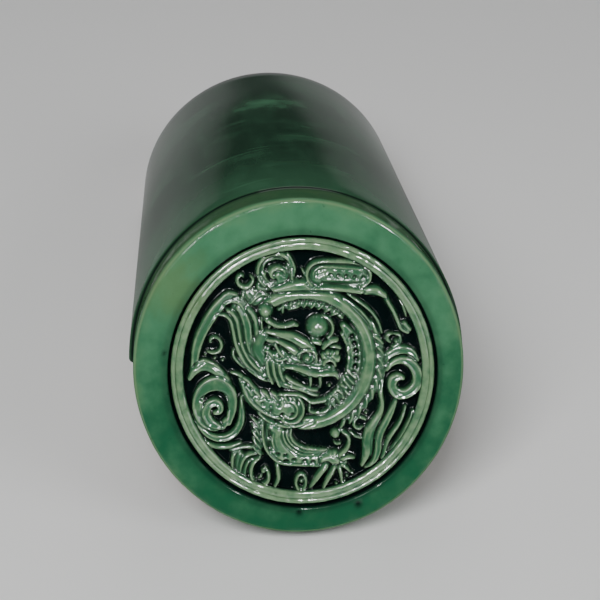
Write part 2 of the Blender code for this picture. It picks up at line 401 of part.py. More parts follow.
def draw_foreleg(relief):
    """The foreleg: shoulder, fringed forearm, and the clawed foot."""
    relief.band([(-20.6, -26), (-21.6, -32), (-20.6, -38)], [2.4, 3.6, 2.0], 2.4, moat=0.4)
    relief.band([(-13.6, -23), (-14.2, -31), (-12.4, -39.4), (-6, -42.8), (4, -43.6), (12, -44.4),
                 (18, -45)], [4.4, 5.2, 6.2, 5.2, 4.7, 5.0, 4.8], 3.8)
    for tooth in range(5):
        relief.ridge([(-26.4 + 0.3 * tooth, -24 - 3.5 * tooth), (-24, -26.2 - 3.5 * tooth),
                      (-21.4, -30.2 - 3.1 * tooth)], [0.4, 0.9, 0.9], 3.4, moat=0.6)
    relief.band([(-32, -4.4), (-29.6, -9), (-26, -13.6), (-20.5, -17), (-13.5, -19.4), (-6.4, -20)],
                [0.8, 2.2, 4.2, 5.6, 7.0, 7.6], 3.6)
    relief.ridge([(-36.4, -1.6), (-33.4, -2.2), (-30.8, -3.8), (-29.4, -6.6)], [0.6, 0.9, 1.2, 0.9], 3.9)
    relief.ridge([(-30, -4.2), (-27.8, -5.6), (-25.6, -8.4), (-22.4, -10.8)], [0.8, 1.2, 1.1, 0.6], 4.2,
                 moat=0.5)
    relief.ridge([(-30.8, -6.6), (-29.2, -11.4), (-26.2, -16), (-21.4, -20.2), (-16, -23), (-11, -24.6)],
                 [0.9, 1.1, 1.1, 1.1, 1.0, 0.8], 4.3, moat=0.5)
    for tuft in range(5):
        spot = np.array([-23.6 + 4.6 * tuft, -11.2 - 0.7 * tuft])
        relief.ridge(np.array([spot + (-1.9, 1.4), spot, spot + (1.7, -2.2)]), [0.5, 1.2, 0.8], 4.3,
                     moat=0.6)
    relief.pits(smooth_path([(-25, -13.4), (-20.6, -16.6), (-16.4, -18)], 31), 3, 0.9, 2.0)
    relief.band(arc((-6.6, -19.6), (6.6, 7.0), 96, -128, 48), [0.8, 1.0, 1.2, 1.0], 4.6, moat=0.5,
                crown=ROUND)
    relief.band(arc((-7, -20), (3.9, 4.2), 120, -150, 36), [0.6, 0.9, 0.9, 0.6], 4.5, moat=0.5, crown=ROUND)
    relief.ridge([(-22.6, -22), (-17.6, -25.6), (-12, -27.6), (-6, -28.4), (0, -27), (5, -25.2)],
                 [0.6, 0.9, 1.0, 1.1, 1.1, 0.6], 4.2, moat=0.5)
    for hole in ((-6.2, -22.4), (-11.4, -22.8), (-12.8, -17.4), (-16.6, -20.6), (-14, -26.4)):
        relief.cut([hole, (hole[0] + 0.6, hole[1] + 0.5)], 0.8, 2.2)
    relief.ridge([(-20.6, -27), (-20.4, -33), (-19, -39), (-15.6, -43.8), (-10.6, -47), (-4, -47.6),
                  (3, -48), (9.4, -48.6)], [0.8, 1.0, 1.1, 1.0, 0.8, 0.7, 0.7, 0.5], 4.3, moat=0.5)
    relief.ridge([(-15.2, -31.6), (-15.6, -36), (-14.2, -39.8)], [0.5, 0.8, 0.6], 4.3, moat=0.6)
    for ring, (reach, wide) in enumerate(((0.0, 1.0), (1.9, 0.8), (3.7, 0.8))):
        relief.ridge([(-6.2 - reach, -29.4 - 0.6 * ring), (-6.4 - reach, -33.2),
                      (-4 - reach, -36.8 - 0.5 * ring), (0.6 - 0.7 * reach, -39.2 - 0.7 * reach),
                      (6.4, -40 - 0.7 * reach), (12, -40.4 - 0.5 * reach)],
                     [0.7 * wide, wide, wide, wide, 0.8 * wide, 0.5 * wide], 4.5 - 0.1 * ring, moat=0.5)
    relief.cut([(-17.2, -30.6), (-16.9, -34)], 0.9, 3.0)
    relief.cut([(-17.3, -36.4), (-16.6, -39.4)], 0.8, 2.8)
    for pit in ((-13.4, -42), (-9.4, -42.6), (-9, -45.5), (-5, -44.8), (0.3, -45.4), (4.5, -45.9),
                (8.8, -46.1), (1.3, -38.1), (6, -38.6), (10.6, -38.9)):
        relief.cut([pit, (pit[0] + 0.9, pit[1])], 0.8, 3.0)
    relief.band([(11, -45.2), (15, -45), (19.4, -46)], [3.4, 5.0, 3.6], 4.2, moat=0.3)
    for root, knuckle, tip, wide in (((11.6, -48), (7, -54.5), (3.6, -59.4), 2.4),
                                     ((16, -49), (12.6, -55), (10, -60.4), 2.0),
                                     ((18.4, -49), (19.4, -53.4), (19.8, -57.4), 1.6),
                                     ((20, -44.6), (23, -43.9), (26.2, -44.4), 1.7),
                                     ((19.6, -47.6), (22.4, -49.6), (24.4, -52.4), 1.4)):
        relief.ridge([root, knuckle, tip], [wide, 0.75 * wide, 0.5], 4.3, moat=0.5)
    for angle in (214, 237, 252, 272, 300, 330, 20, 60, 105):
        ray = np.radians(angle)
        spot = np.array([15.8, -45.4])
        relief.cut(np.array([spot + 2.4 * np.array([np.cos(ray), np.sin(ray)]),
                             spot + 5.6 * np.array([np.cos(ray), np.sin(ray)])]), 0.4, 1.1)
    relief.ridge([(18, -43), (20.6, -41.2), (22.6, -38.6), (23.2, -35), (21.8, -32.4), (19, -30.8)],
                 [1.0, 1.4, 1.4, 1.3, 1.2, 1.0], 4.4)
    relief.ball((16.2, -32.2), 3.0, 4.3)
    relief.ridge([(15.6, -36.6), (17, -37.4), (19, -37)], [0.6, 0.8, 0.6], 3.6)
    for bit in ((22.4, -53.8), (25, -52.4), (21.4, -56.8), (17, -57.6)):
        relief.ball(bit, 1.0, 2.8)


def draw_head(relief):
    """The head that looks out to the right with open jaws, and the pearl before its brow."""
    relief.band([(-20, 4), (-22, 10), (-20, 17)], [3.0, 4.6, 3.0], 2.8, moat=0.2)
    relief.band([(-15, 11), (-10, 7.6), (-4, 3.6), (5, 1.6), (12, 0.4)], [5.0, 8.0, 8.6, 6.4, 4.6], 3.0,
                moat=0.3)
    relief.band([(-14.6, 6), (-13, 0), (-9, -5), (-3, -8.4), (4, -11)], [4.6, 5.8, 5.0, 2.6, 1.4], 3.4,
                moat=0.5)
    relief.band([(-18.8, 19), (-13, 17.8), (-6, 16), (0, 12.6), (4, 9.6)], [0.8, 1.7, 2.6, 3.0, 2.6], 4.3,
                crown=FLAT)
    relief.band([(-18.6, 15.2), (-12, 13.4), (-5.6, 10), (-0.6, 6)], [0.9, 1.8, 2.4, 1.6], 4.5, moat=0.5,
                crown=FLAT)
    relief.ridge([(-19.6, 9.6), (-17.4, 8.8), (-15.6, 6.4)], [0.8, 1.2, 0.8], 4.2, moat=0.5)
    relief.ridge([(-14.6, 13.2), (-12.8, 9.6), (-10.2, 6.6), (-6.6, 4)], [0.8, 1.2, 1.1, 0.7], 4.5,
                 moat=0.5)
    relief.ridge([(-14.4, 4.8), (-11.4, 5), (-8.6, 5.9)], [0.6, 1.0, 0.7], 4.6, moat=0.4)
    relief.cut([(-19.2, 12.6), (-16.6, 11.6), (-14.8, 9)], 0.7, 2.8)
    relief.cut([(-12.6, 12.6), (-9.8, 10.4), (-7.2, 7.6)], 0.65, 2.8)
    for lock, (top, foot) in enumerate((((-18.6, 4.6), (-15.6, -7)), ((-15.6, 3.8), (-12, -8.4)),
                                        ((-12.6, 3), (-8.8, -7.6)))):
        middle = ((top[0] + foot[0]) / 2 - 0.8, (top[1] + foot[1]) / 2)
        relief.ridge([top, middle, foot], [1.0, 1.5, 0.9], 4.1 + 0.1 * lock, moat=0.4)
    relief.ridge([(-8.6, -3.6), (-5.4, -6.2), (-1, -8.6), (3, -9.8), (7, -10.2)], [1.2, 1.5, 1.3, 1.2, 0.8],
                 4.3, moat=0.5)
    relief.ridge([(-10, -6.8), (-5, -8.6), (0, -10.4), (4.6, -12.4), (7.6, -13)], [0.8, 1.2, 1.2, 1.0, 0.6],
                 4.0, moat=0.4)
    relief.band([(-12.4, -12.6), (-7, -12.4), (-2.4, -12.6), (0.8, -14.2), (3.8, -16.2), (7.8, -15.8),
                 (11.8, -14.8), (14.8, -12.2), (17.2, -9.6)], [0.6, 0.9, 1.0, 1.0, 1.1, 1.3, 1.5, 1.3, 0.8],
                4.2, moat=0.5, crown=ROUND)
    relief.ridge([(3.2, -18), (3.2, -21), (7, -21.8), (11, -21), (14.2, -18)], [0.6, 1.0, 0.9, 1.0, 0.7],
                 3.3)
    for whisker in range(4):
        relief.ridge([(12.6 + 2.1 * whisker, -14.6 + 2.3 * whisker),
                      (15.4 + 2.2 * whisker, -18.4 + 2.9 * whisker)], [0.9, 0.6], 3.5, moat=0.6)
    relief.band([(-9.4, 1.6), (-5, 1.2), (0, -0.4), (4, -2), (8, -2.4), (12, -1.9), (15.6, -2.2),
                 (17.2, -4.6)], [1.1, 1.7, 2.1, 2.2, 2.1, 2.1, 1.8, 0.8], 4.7, moat=0.5, crown=ROUND)
    relief.cut([(-8.6, -1.6), (-5.4, -2.9), (-2.2, -4.6), (1.2, -7.4)], 1.15, 4.6)
    relief.cut([(-5, -2.8), (-2.6, -4)], 1.2, 3.0)
    for corner in ((11.4, -5.4), (14.2, -5.6), (13.2, -7.4)):
        relief.cut([corner, (corner[0] + 0.8, corner[1])], 1.6, 4.4)
    relief.cut([(12.6, -9.4), (11, -11.6), (9.4, -12.4)], 1.1, 4.2)
    relief.ball((13, -8.3), 1.0, 3.2)
    for tooth, foot in ((3.6, -8.6), (8.4, -9.2)):
        relief.ridge([(tooth - 0.3, -4), (tooth, -6.4), (tooth - 0.2, foot)], [1.1, 0.9, 0.35], 4.8,
                     moat=0.5)
    relief.cut([(5.6, -5.4), (5.8, -7.6)], 0.9, 3.6)
    relief.cut([(-3.6, 3.4), (0.6, 2), (5, 1.4), (10, 1.4), (16, 1.2)], 0.5, 1.6)
    relief.knob((2.2, 5.8), 3.8, 4.6)
    relief.cut(arc((1.9, 5.8), (2.9, 2.8), 30, 330), 0.45, 1.8)
    relief.ball((1.7, 5.9), 1.9, 5.0)
    relief.ridge([(-3.4, 7.4), (-0.6, 9.6), (3.4, 9.8), (5.8, 8.2), (6.2, 5.6), (5.9, 3.4)],
                 [0.6, 1.0, 1.1, 1.0, 0.9, 0.5], 5.0, moat=0.5)
    relief.cut([(8, 10.4), (8, 6.6), (7.8, 3.4)], 0.7, 2.6)
    relief.band([(10.6, 6.8), (14, 6.4), (16.6, 5.4)], [2.4, 3.4, 2.2], 4.0, moat=0.5)
    relief.ridge([(9.8, 2.4), (11, 4.3), (13.2, 5.1), (15.2, 3.6), (16, 1.6)], [0.7, 1.1, 1.1, 0.9, 0.6],
                 5.0, moat=0.5)
    relief.cut([(12.4, 3.2), (14, 2.6)], 0.8, 3.2)
    relief.ball((11.8, 8.7), 1.7, 4.9)
    relief.ball((16.6, 8.4), 1.5, 4.6)
    relief.band([(9.4, 10.6), (11.2, 12.6), (13.8, 14.6), (16.6, 14.8)], [1.0, 1.7, 1.9, 1.1], 4.8,
                moat=0.5, crown=ROUND)
    relief.ridge([(13.2, 11.4), (16, 11.6), (18.6, 10.4)], [0.7, 1.1, 0.6], 4.2, moat=0.5)
    relief.band([(-20.2, 30), (-19.4, 26.6), (-17.4, 23.6), (-13.4, 21.8), (-9, 21.6), (-5.4, 22.5),
                 (-3, 21.6)], [2.6, 2.2, 1.8, 1.4, 1.2, 1.3, 0.6], 4.5, crown=ROUND)
    relief.ball((-19.2, 29.2), 3.4, 4.9)
    relief.ball((-17.4, 21.2), 1.2, 3.9)
    relief.band([(5, 17), (5.6, 14.4), (8, 13)], [2.0, 2.2, 1.4], 3.6, moat=0.4)
    relief.knob((7.8, 20.4), 6.9, 4.4)
    relief.cut([(5.6, 18.6), (8.6, 17.2), (11.6, 18.2), (12.6, 20.6)], 1.2, 3.2)
    relief.band(arc((7.8, 20.4), (6.2, 5.9), 70, -60), [0.5, 1.0, 0.9, 0.5], 4.9, moat=0.4, crown=ROUND)
    relief.ridge([(7.6, 18.2), (9.2, 16.4), (8.8, 14.4), (6.4, 13.8)], [0.7, 1.1, 1.0, 0.6], 4.2, moat=0.5)


def dragon_height(u, v):
    """The height of the whole relief over its ground, in units of the drawing grid."""
    relief = Relief(u, v)
    for draw in (draw_left_clouds, draw_lower_clouds, draw_right_clouds, draw_upper_clouds, draw_mane,
                 draw_coil, draw_hind_leg, draw_foreleg, draw_head):
        draw(relief)
    return relief.height


def softened(height):
    """A square grid of heights, each mixed with its neighbours' along the rows and the columns by turns."""
    side = math.isqrt(len(height))
    height = height.reshape(side, side)
    for _ in range(SOFTENING_PASSES):
        padded = np.pad(height, ((1, 1), (0, 0)), mode="edge")
        height = ((padded[:-2] + 2 * height + padded[2:]) / 4).T
    return height.reshape(-1)


def spun(section, sides):
    """A closed body for a section of (radius, depth behind the face) pairs, spun round the disc's middle."""
    bm = bmesh.new()
    verts = [bm.verts.new((radius, along, 0)) for radius, along in section]
    edges = [bm.edges.new(pair) for pair in zip(verts, verts[1:])]
    bmesh.ops.spin(bm, geom=verts + edges, cent=(0, 0, 0), axis=(0, -1, 0), angle=math.tau, steps=sides)
    bmesh.ops.remove_doubles(bm, verts=bm.verts, dist=MERGE_DISTANCE)
    return bm


def disc_body():
    """The plain disc with its rounded front edge, its sides along the barrel."""
    section = [(0, 0)]
    for step in range(ROUND_STEPS + 1):
        turn = math.pi / 2 * step / ROUND_STEPS
        section.append((DISC_RADIUS - DISC_EDGE_ROUND * (1 - math.sin(turn)),
                        DISC_EDGE_ROUND * (1 - math.cos(turn))))
    section.append((DISC_RADIUS, DISC_DEPTH - DISC_EDGE_ROUND / 2))
    section.append((DISC_RADIUS - DISC_EDGE_ROUND / 2, DISC_DEPTH))
    section.append((0, DISC_DEPTH))
    return finished("disc", spun(section, DISC_SIDES), 0, DISC_RAISE)


def bead(outer, width, crest, start, end):
    """The section of a rounded ring from its outer edge inwards, by the depths of its crest and its feet."""
    points = []
    for step in range(RING_STEPS + 1):
        across = math.pi * step / RING_STEPS
        foot = start if across < math.pi / 2 else end
        points.append((outer - width * (1 - math.cos(across)) / 2, foot - (foot - crest) * math.sin(across)))
    return points


def recess_cutter():
    """What is cut out of the disc's face: the groove, the two rings that are left standing, and the field."""
    front = MEDALLION_RADIUS + GROOVE_WIDTH * (1 + CUT_REACH / GROOVE_DEPTH)
    section = [(0, -CUT_REACH), (front, -CUT_REACH), (MEDALLION_RADIUS, GROOVE_DEPTH)]
    section += bead(RING_RADIUS, RING_WIDTH, RING_DEPTH, GROOVE_DEPTH, VALLEY_DEPTH)
    section += bead(RING_RADIUS - RING_WIDTH, INNER_RING_WIDTH, INNER_RING_DEPTH,
                    VALLEY_DEPTH, GROOVE_DEPTH)[1:]
    section.append((FIELD_RADIUS, FIELD_DEPTH + FLOOR_GAP))
    section.append((0, FIELD_DEPTH + FLOOR_GAP))
    return finished("recess", spun(section, DISC_SIDES), MEDALLION_ASIDE, DISC_RAISE - MEDALLION_DROP)


def relief_slab():
    """The carved field as a slab that fills the recess, its edge and its back sunk into the disc."""
    unit = MEDALLION_RADIUS / DRAWING_UNITS
    bm = bmesh.new()
    bmesh.ops.create_grid(bm, x_segments=2 * RELIEF_RINGS, y_segments=2 * RELIEF_RINGS, size=1.0)
    square = np.array([vert.co[:2] for vert in bm.verts])
    radius = np.abs(square).max(axis=1) * (FIELD_RADIUS + SLAB_OVERLAP)
    sideways = np.abs(square[:, 0]) >= np.abs(square[:, 1])
    safe = np.maximum(np.abs(square).max(axis=1), MERGE_DISTANCE)
    turn = np.pi / 4 * np.where(sideways, square[:, 1], square[:, 0]) / safe
    x = np.where(sideways, np.sign(square[:, 0]) * np.cos(turn), np.sin(turn)) * radius
    z = np.where(sideways, np.sin(turn), np.sign(square[:, 1]) * np.cos(turn)) * radius
    u = (x * math.cos(DRAWING_TURN) - z * math.sin(DRAWING_TURN)) / unit + DRAWING_ASIDE
    v = (x * math.sin(DRAWING_TURN) + z * math.cos(DRAWING_TURN)) / unit + DRAWING_RISE
    carved = softened(dragon_height(u, v)) * (RELIEF_HEIGHT / DRAWING_HEIGHT)
    depth = FIELD_DEPTH - carved * np.clip((FIELD_RADIUS - radius) / (EDGE_FADE * unit), 0, 1)
    for vert, px, py, pz in zip(bm.verts, x, depth, z):
        vert.co = Vector((px, py, pz))
    rim = [edge for edge in bm.edges if edge.is_boundary]
    grown = bmesh.ops.extrude_edge_only(bm, edges=rim)["geom"]
    for vert in (item for item in grown if isinstance(item, bmesh.types.BMVert)):
        vert.co.y = DISC_DEPTH / 2
    bmesh.ops.contextual_create(bm, geom=[item for item in grown if isinstance(item, bmesh.types.BMEdge)])
    bmesh.ops.triangulate(bm, faces=bm.faces, quad_method="SHORT_EDGE")
    return finished("relief", bm, MEDALLION_ASIDE, DISC_RAISE - MEDALLION_DROP)


def finished(name, bm, aside, up):
    """The mesh of a shape of the disc, moved to its place and leaned back."""
    bmesh.ops.translate(bm, vec=(aside, 0, up), verts=bm.verts)
    lean_back(bm)
    bmesh.ops.recalc_face_normals(bm, faces=bm.faces)
    mesh = bpy.data.meshes.new(name)
    bm.to_mesh(mesh)
    bm.free()
    return mesh


def lean_back(bm, reach=math.inf):
    """Slides what lies in front of the given reach along the barrel, so that the face leans back."""
    for vert in bm.verts:
        if vert.co.y < reach:
            vert.co.y += vert.co.z * math.tan(FACE_LEAN)


def barrel_profile():
    """The barrel's section along its length, as (radius, distance behind the face), going round once."""
    mouth = DISC_THICKNESS - JOINT_OVERLAP
    profile = [(BARREL_RADIUS, DISC_THICKNESS), (BARREL_RADIUS, SHOULDER_Y), (TONGUE_RADIUS, SHOULDER_Y),
               (TONGUE_RADIUS, TONGUE_END_Y), (TONGUE_INNER_RADIUS, TONGUE_END_Y),
               (TONGUE_INNER_RADIUS, SHOULDER_Y), (INNER_RADIUS, SHOULDER_Y - TONGUE_RUN_IN)]
    for step in range(ROUND_STEPS + 1):
        turn = FILLET_SWEEP * step / ROUND_STEPS
        profile.append((INNER_RADIUS - FILLET_RADIUS * (1 - math.cos(turn)),
                        DISC_DEPTH + FILLET_RADIUS * (1 - math.sin(turn))))
    profile.append((profile[-1][0], mouth))
    profile.append((DISC_RADIUS - JOINT_OVERLAP, mouth))
    profile.append((DISC_RADIUS - JOINT_OVERLAP, DISC_THICKNESS))
    return profile


def barrel_mesh():
    """The half-round barrel with its tongue, closed by the two flat bed edges."""
    bm = bmesh.new()
    verts = [bm.verts.new((radius, along, 0)) for radius, along in barrel_profile()]
    edges = [bm.edges.new((a, b)) for a, b in zip(verts, verts[1:] + verts[:1])]
    swept = bmesh.ops.spin(bm, geom=verts + edges, cent=(0, 0, 0), axis=(0, -1, 0),
                           angle=math.pi, steps=BARREL_SIDES)["geom_last"]
    for bed_edge in (edges, [item for item in swept if isinstance(item, bmesh.types.BMEdge)]):
        bmesh.ops.contextual_create(bm, geom=bed_edge)
    bmesh.ops.recalc_face_normals(bm, faces=bm.faces)
    lean_back(bm, SHOULDER_Y / 2)
    mesh = bpy.data.meshes.new("barrel")
    bm.to_mesh(mesh)
    bm.free()
    return mesh


def glaze():
    """Glossy green glaze over the whole tile."""
    material = bpy.data.materials.new("green_glaze")
    material.use_nodes = True
    shader = material.node_tree.nodes["Principled BSDF"]
    shader.inputs["Base Color"].default_value = GLAZE_GREEN
    shader.inputs["Roughness"].default_value = GLAZE_ROUGHNESS
    shader.inputs["Metallic"].default_value = 0.0
    return material


def add_object(name, mesh, collection):
    """An object for a mesh, linked into a collection."""
    thing = bpy.data.objects.new(name, mesh)
    collection.objects.link(thing)
    return thing


def add_shape(tile, mesh, operation, collection):
    """Joins a shape to the tile, or cuts it out, and keeps it as a hidden wire object."""
    shape = add_object(mesh.name + "_shape", mesh, collection)
    shape.hide_render = True
    shape.display_type = "WIRE"
    step = tile.modifiers.new(mesh.name, "BOOLEAN")
    step.operation = operation
    step.solver = "EXACT"
    step.object = shape
    return shape


def resting_place(mesh):
    """The turn and shift that lay the tile on its disc's foot and its rear corners, over the origin."""
    co = np.empty(3 * len(mesh.vertices))
    mesh.vertices.foreach_get("co", co)
    co = co.reshape(-1, 3)
    foot = co[co[:, 2].argmin()]
    tilt = math.atan2(-foot[2], TONGUE_END_Y - foot[1])
    for _ in range(4):
        low = co[(co[:, 1] < SHOULDER_Y / 2)]
        drop = low[:, 2] * math.cos(tilt) - low[:, 1] * math.sin(tilt)
        foot = low[drop.argmin()]
        tilt = math.atan2(-foot[2], TONGUE_END_Y - foot[1])
    turn = Matrix.Rotation(-tilt, 4, "X")
    laid = co @ np.array(turn.to_3x3()).T
    low = laid.min(axis=0)
    high = laid.max(axis=0)
    return Matrix.Translation((-(low[0] + high[0]) / 2, -(low[1] + high[1]) / 2, -low[2])) @ turn


def build_tile():
    """One fired piece: the carved disc and the barrel behind it, joined and laid down."""
    tile_parts = bpy.data.collections.new("half_round_eaves_tile")
    cutters = bpy.data.collections.new("joining_shapes")
    for collection in (tile_parts, cutters):
        bpy.context.scene.collection.children.link(collection)
    tile = add_object(TILE_NAME, barrel_mesh(), tile_parts)
    rounding = tile.modifiers.new("rounded edges", "BEVEL")
    rounding.width = BARREL_EDGE_ROUND
    rounding.segments = 2
    rounding.limit_method = "ANGLE"
    rounding.angle_limit = math.radians(40)
    relief_mesh = relief_slab()
    shapes = [add_shape(tile, disc_body(), "UNION", cutters),
              add_shape(tile, recess_cutter(), "DIFFERENCE", cutters),
              add_shape(tile, relief_mesh, "UNION", cutters)]
    thin = shapes[-1].modifiers.new("flat parts in few faces", "DECIMATE")
    thin.ratio = min(1.0, RELIEF_TRIANGLES / len(relief_mesh.polygons))
    thin.use_collapse_triangulate = True
    tile.data.materials.append(glaze())
    bpy.context.view_layer.update()
    joined = tile.evaluated_get(bpy.context.evaluated_depsgraph_get())
    place = resting_place(joined.data)
    for thing in [tile, *shapes]:
        thing.matrix_world = place


clear_scene()
build_tile()
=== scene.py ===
"""The looks of a half-round eaves tile of green-glazed clay, with a coiled dragon on its end disc.

Lengths are metres. The tile is worked out in its own level frame: X to the right, Y back along the
barrel from the middle of the disc's face, Z up from the plane of the bed edges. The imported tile's
tongue mount says where that frame lies in the row frame, and every point is carried there at the end.
"""
import functools
import json
import logging
import math
from collections.abc import Callable
from dataclasses import dataclass, field
from enum import Enum

import bpy
import numpy as np
from mathutils import Matrix, Vector


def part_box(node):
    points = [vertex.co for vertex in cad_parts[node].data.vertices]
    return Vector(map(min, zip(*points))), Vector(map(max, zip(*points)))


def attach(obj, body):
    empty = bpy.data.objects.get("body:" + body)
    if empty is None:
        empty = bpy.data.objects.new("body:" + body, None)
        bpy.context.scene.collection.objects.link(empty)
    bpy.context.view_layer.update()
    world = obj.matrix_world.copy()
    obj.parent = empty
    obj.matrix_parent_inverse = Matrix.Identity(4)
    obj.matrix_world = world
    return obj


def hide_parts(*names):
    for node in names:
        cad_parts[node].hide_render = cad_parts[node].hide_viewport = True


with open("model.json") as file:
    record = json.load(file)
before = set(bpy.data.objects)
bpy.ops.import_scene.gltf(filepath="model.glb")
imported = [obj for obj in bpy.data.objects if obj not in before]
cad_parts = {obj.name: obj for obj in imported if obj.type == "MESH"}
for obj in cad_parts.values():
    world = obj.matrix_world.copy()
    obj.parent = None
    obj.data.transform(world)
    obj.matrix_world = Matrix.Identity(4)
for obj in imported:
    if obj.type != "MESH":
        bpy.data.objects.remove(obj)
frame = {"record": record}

NODE = "eaves_tile"
SPOT_RAGGEDNESS = 0.03
Sockets = bpy.types.bpy_prop_collection
log = logging.getLogger("eaves_tile")


def smooth_path(points: list, count: int = 32) -> np.ndarray:
    """Draws a Catmull-Rom curve through the points.

    Args:
        points: The points that the curve passes, in order.
        count: How many places along the curve are wanted.

    Returns:
        The places, evenly spread over the curve's spans.
    """
    knots = np.array(points, float)
    knots = np.vstack([2 * knots[0] - knots[1], knots, 2 * knots[-1] - knots[-2]])
    spot = np.linspace(0, len(points) - 1, count)
    span = np.minimum(spot.astype(int), len(points) - 2)
    t = (spot - span)[:, None]
    a, b, c, d = (knots[span + k] for k in range(4))
    return 0.5 * (2 * b + (c - a) * t + (2 * a - 5 * b + 4 * c - d) * t**2 + (3 * b - a - 3 * c + d) * t**3)


def followed(path: list | np.ndarray) -> np.ndarray:
    """Smooths a path that is given as a list of points, and takes an array of places as it is."""
    return smooth_path(path, 8 * len(path)) if isinstance(path, list) else path


def arc(centre: tuple, radius: float | tuple, start: float, end: float, count: int = 32) -> np.ndarray:
    """Lays places along a round or oval arc: the centre plus the radii times cosine and sine.

    Args:
        centre: The arc's middle.
        radius: One radius, or the level and the upright one.
        start: Where it starts, in degrees counter-clockwise from the right.
        end: Where it ends, in degrees.
        count: How many places are wanted.

    Returns:
        The places along the arc.
    """
    angle = np.radians(np.linspace(start, end, count))
    wide, tall = np.broadcast_to(radius, 2)
    return np.stack([centre[0] + wide * np.cos(angle), centre[1] + tall * np.sin(angle)], axis=1)


def blurred(height: np.ndarray, spread: float) -> np.ndarray:
    """Softens a raster with a bell-shaped kernel, first along one axis and then along the other.

    Args:
        height: The raster.
        spread: The bell's standard deviation, in cells.

    Returns:
        The softened raster.
    """
    reach = int(math.ceil(3 * spread))
    taps = np.exp(-0.5 * (np.arange(-reach, reach + 1) / spread)**2)
    taps /= taps.sum()
    for axis in (0, 1):
        padded = np.pad(height, [(reach, reach) if axis == side else (0, 0) for side in (0, 1)], mode="edge")
        size = height.shape[axis]
        height = sum(tap * padded.take(range(k, k + size), axis=axis) for k, tap in enumerate(taps))
    return height


def waves(place: np.ndarray, length: float, seed: int, count: int = 7, spread: tuple = (0.6, 1.7),
          gain: float = 1.6) -> np.ndarray:
    """Adds sine waves that run in scattered directions, as an unevenness of about -1 to 1.

    Args:
        place: The points where it is wanted, XYZ along the last axis.
        length: The waves' middle length.
        seed: The seed for their directions, lengths and phases.
        count: How many waves are added.
        spread: The shortest and the longest wave, as shares of the middle length.
        gain: What their mean is multiplied by.

    Returns:
        The unevenness at each point.
    """
    rng = np.random.default_rng(seed)
    heading = rng.normal(size=(count, 3))
    heading /= np.linalg.norm(heading, axis=1, keepdims=True)
    pace = 2 * np.pi / (length * rng.uniform(*spread, count))
    phase = rng.uniform(0, 2 * np.pi, count)
    return np.sin(place @ (heading * pace[:, None]).T + phase).mean(axis=-1) * gain


class Crown(Enum):
    """The cross-section of a carved band."""

    ROUND = "round"
    FLAT = "flat"
    RIBBON = "ribbon"
    KEEL = "keel"


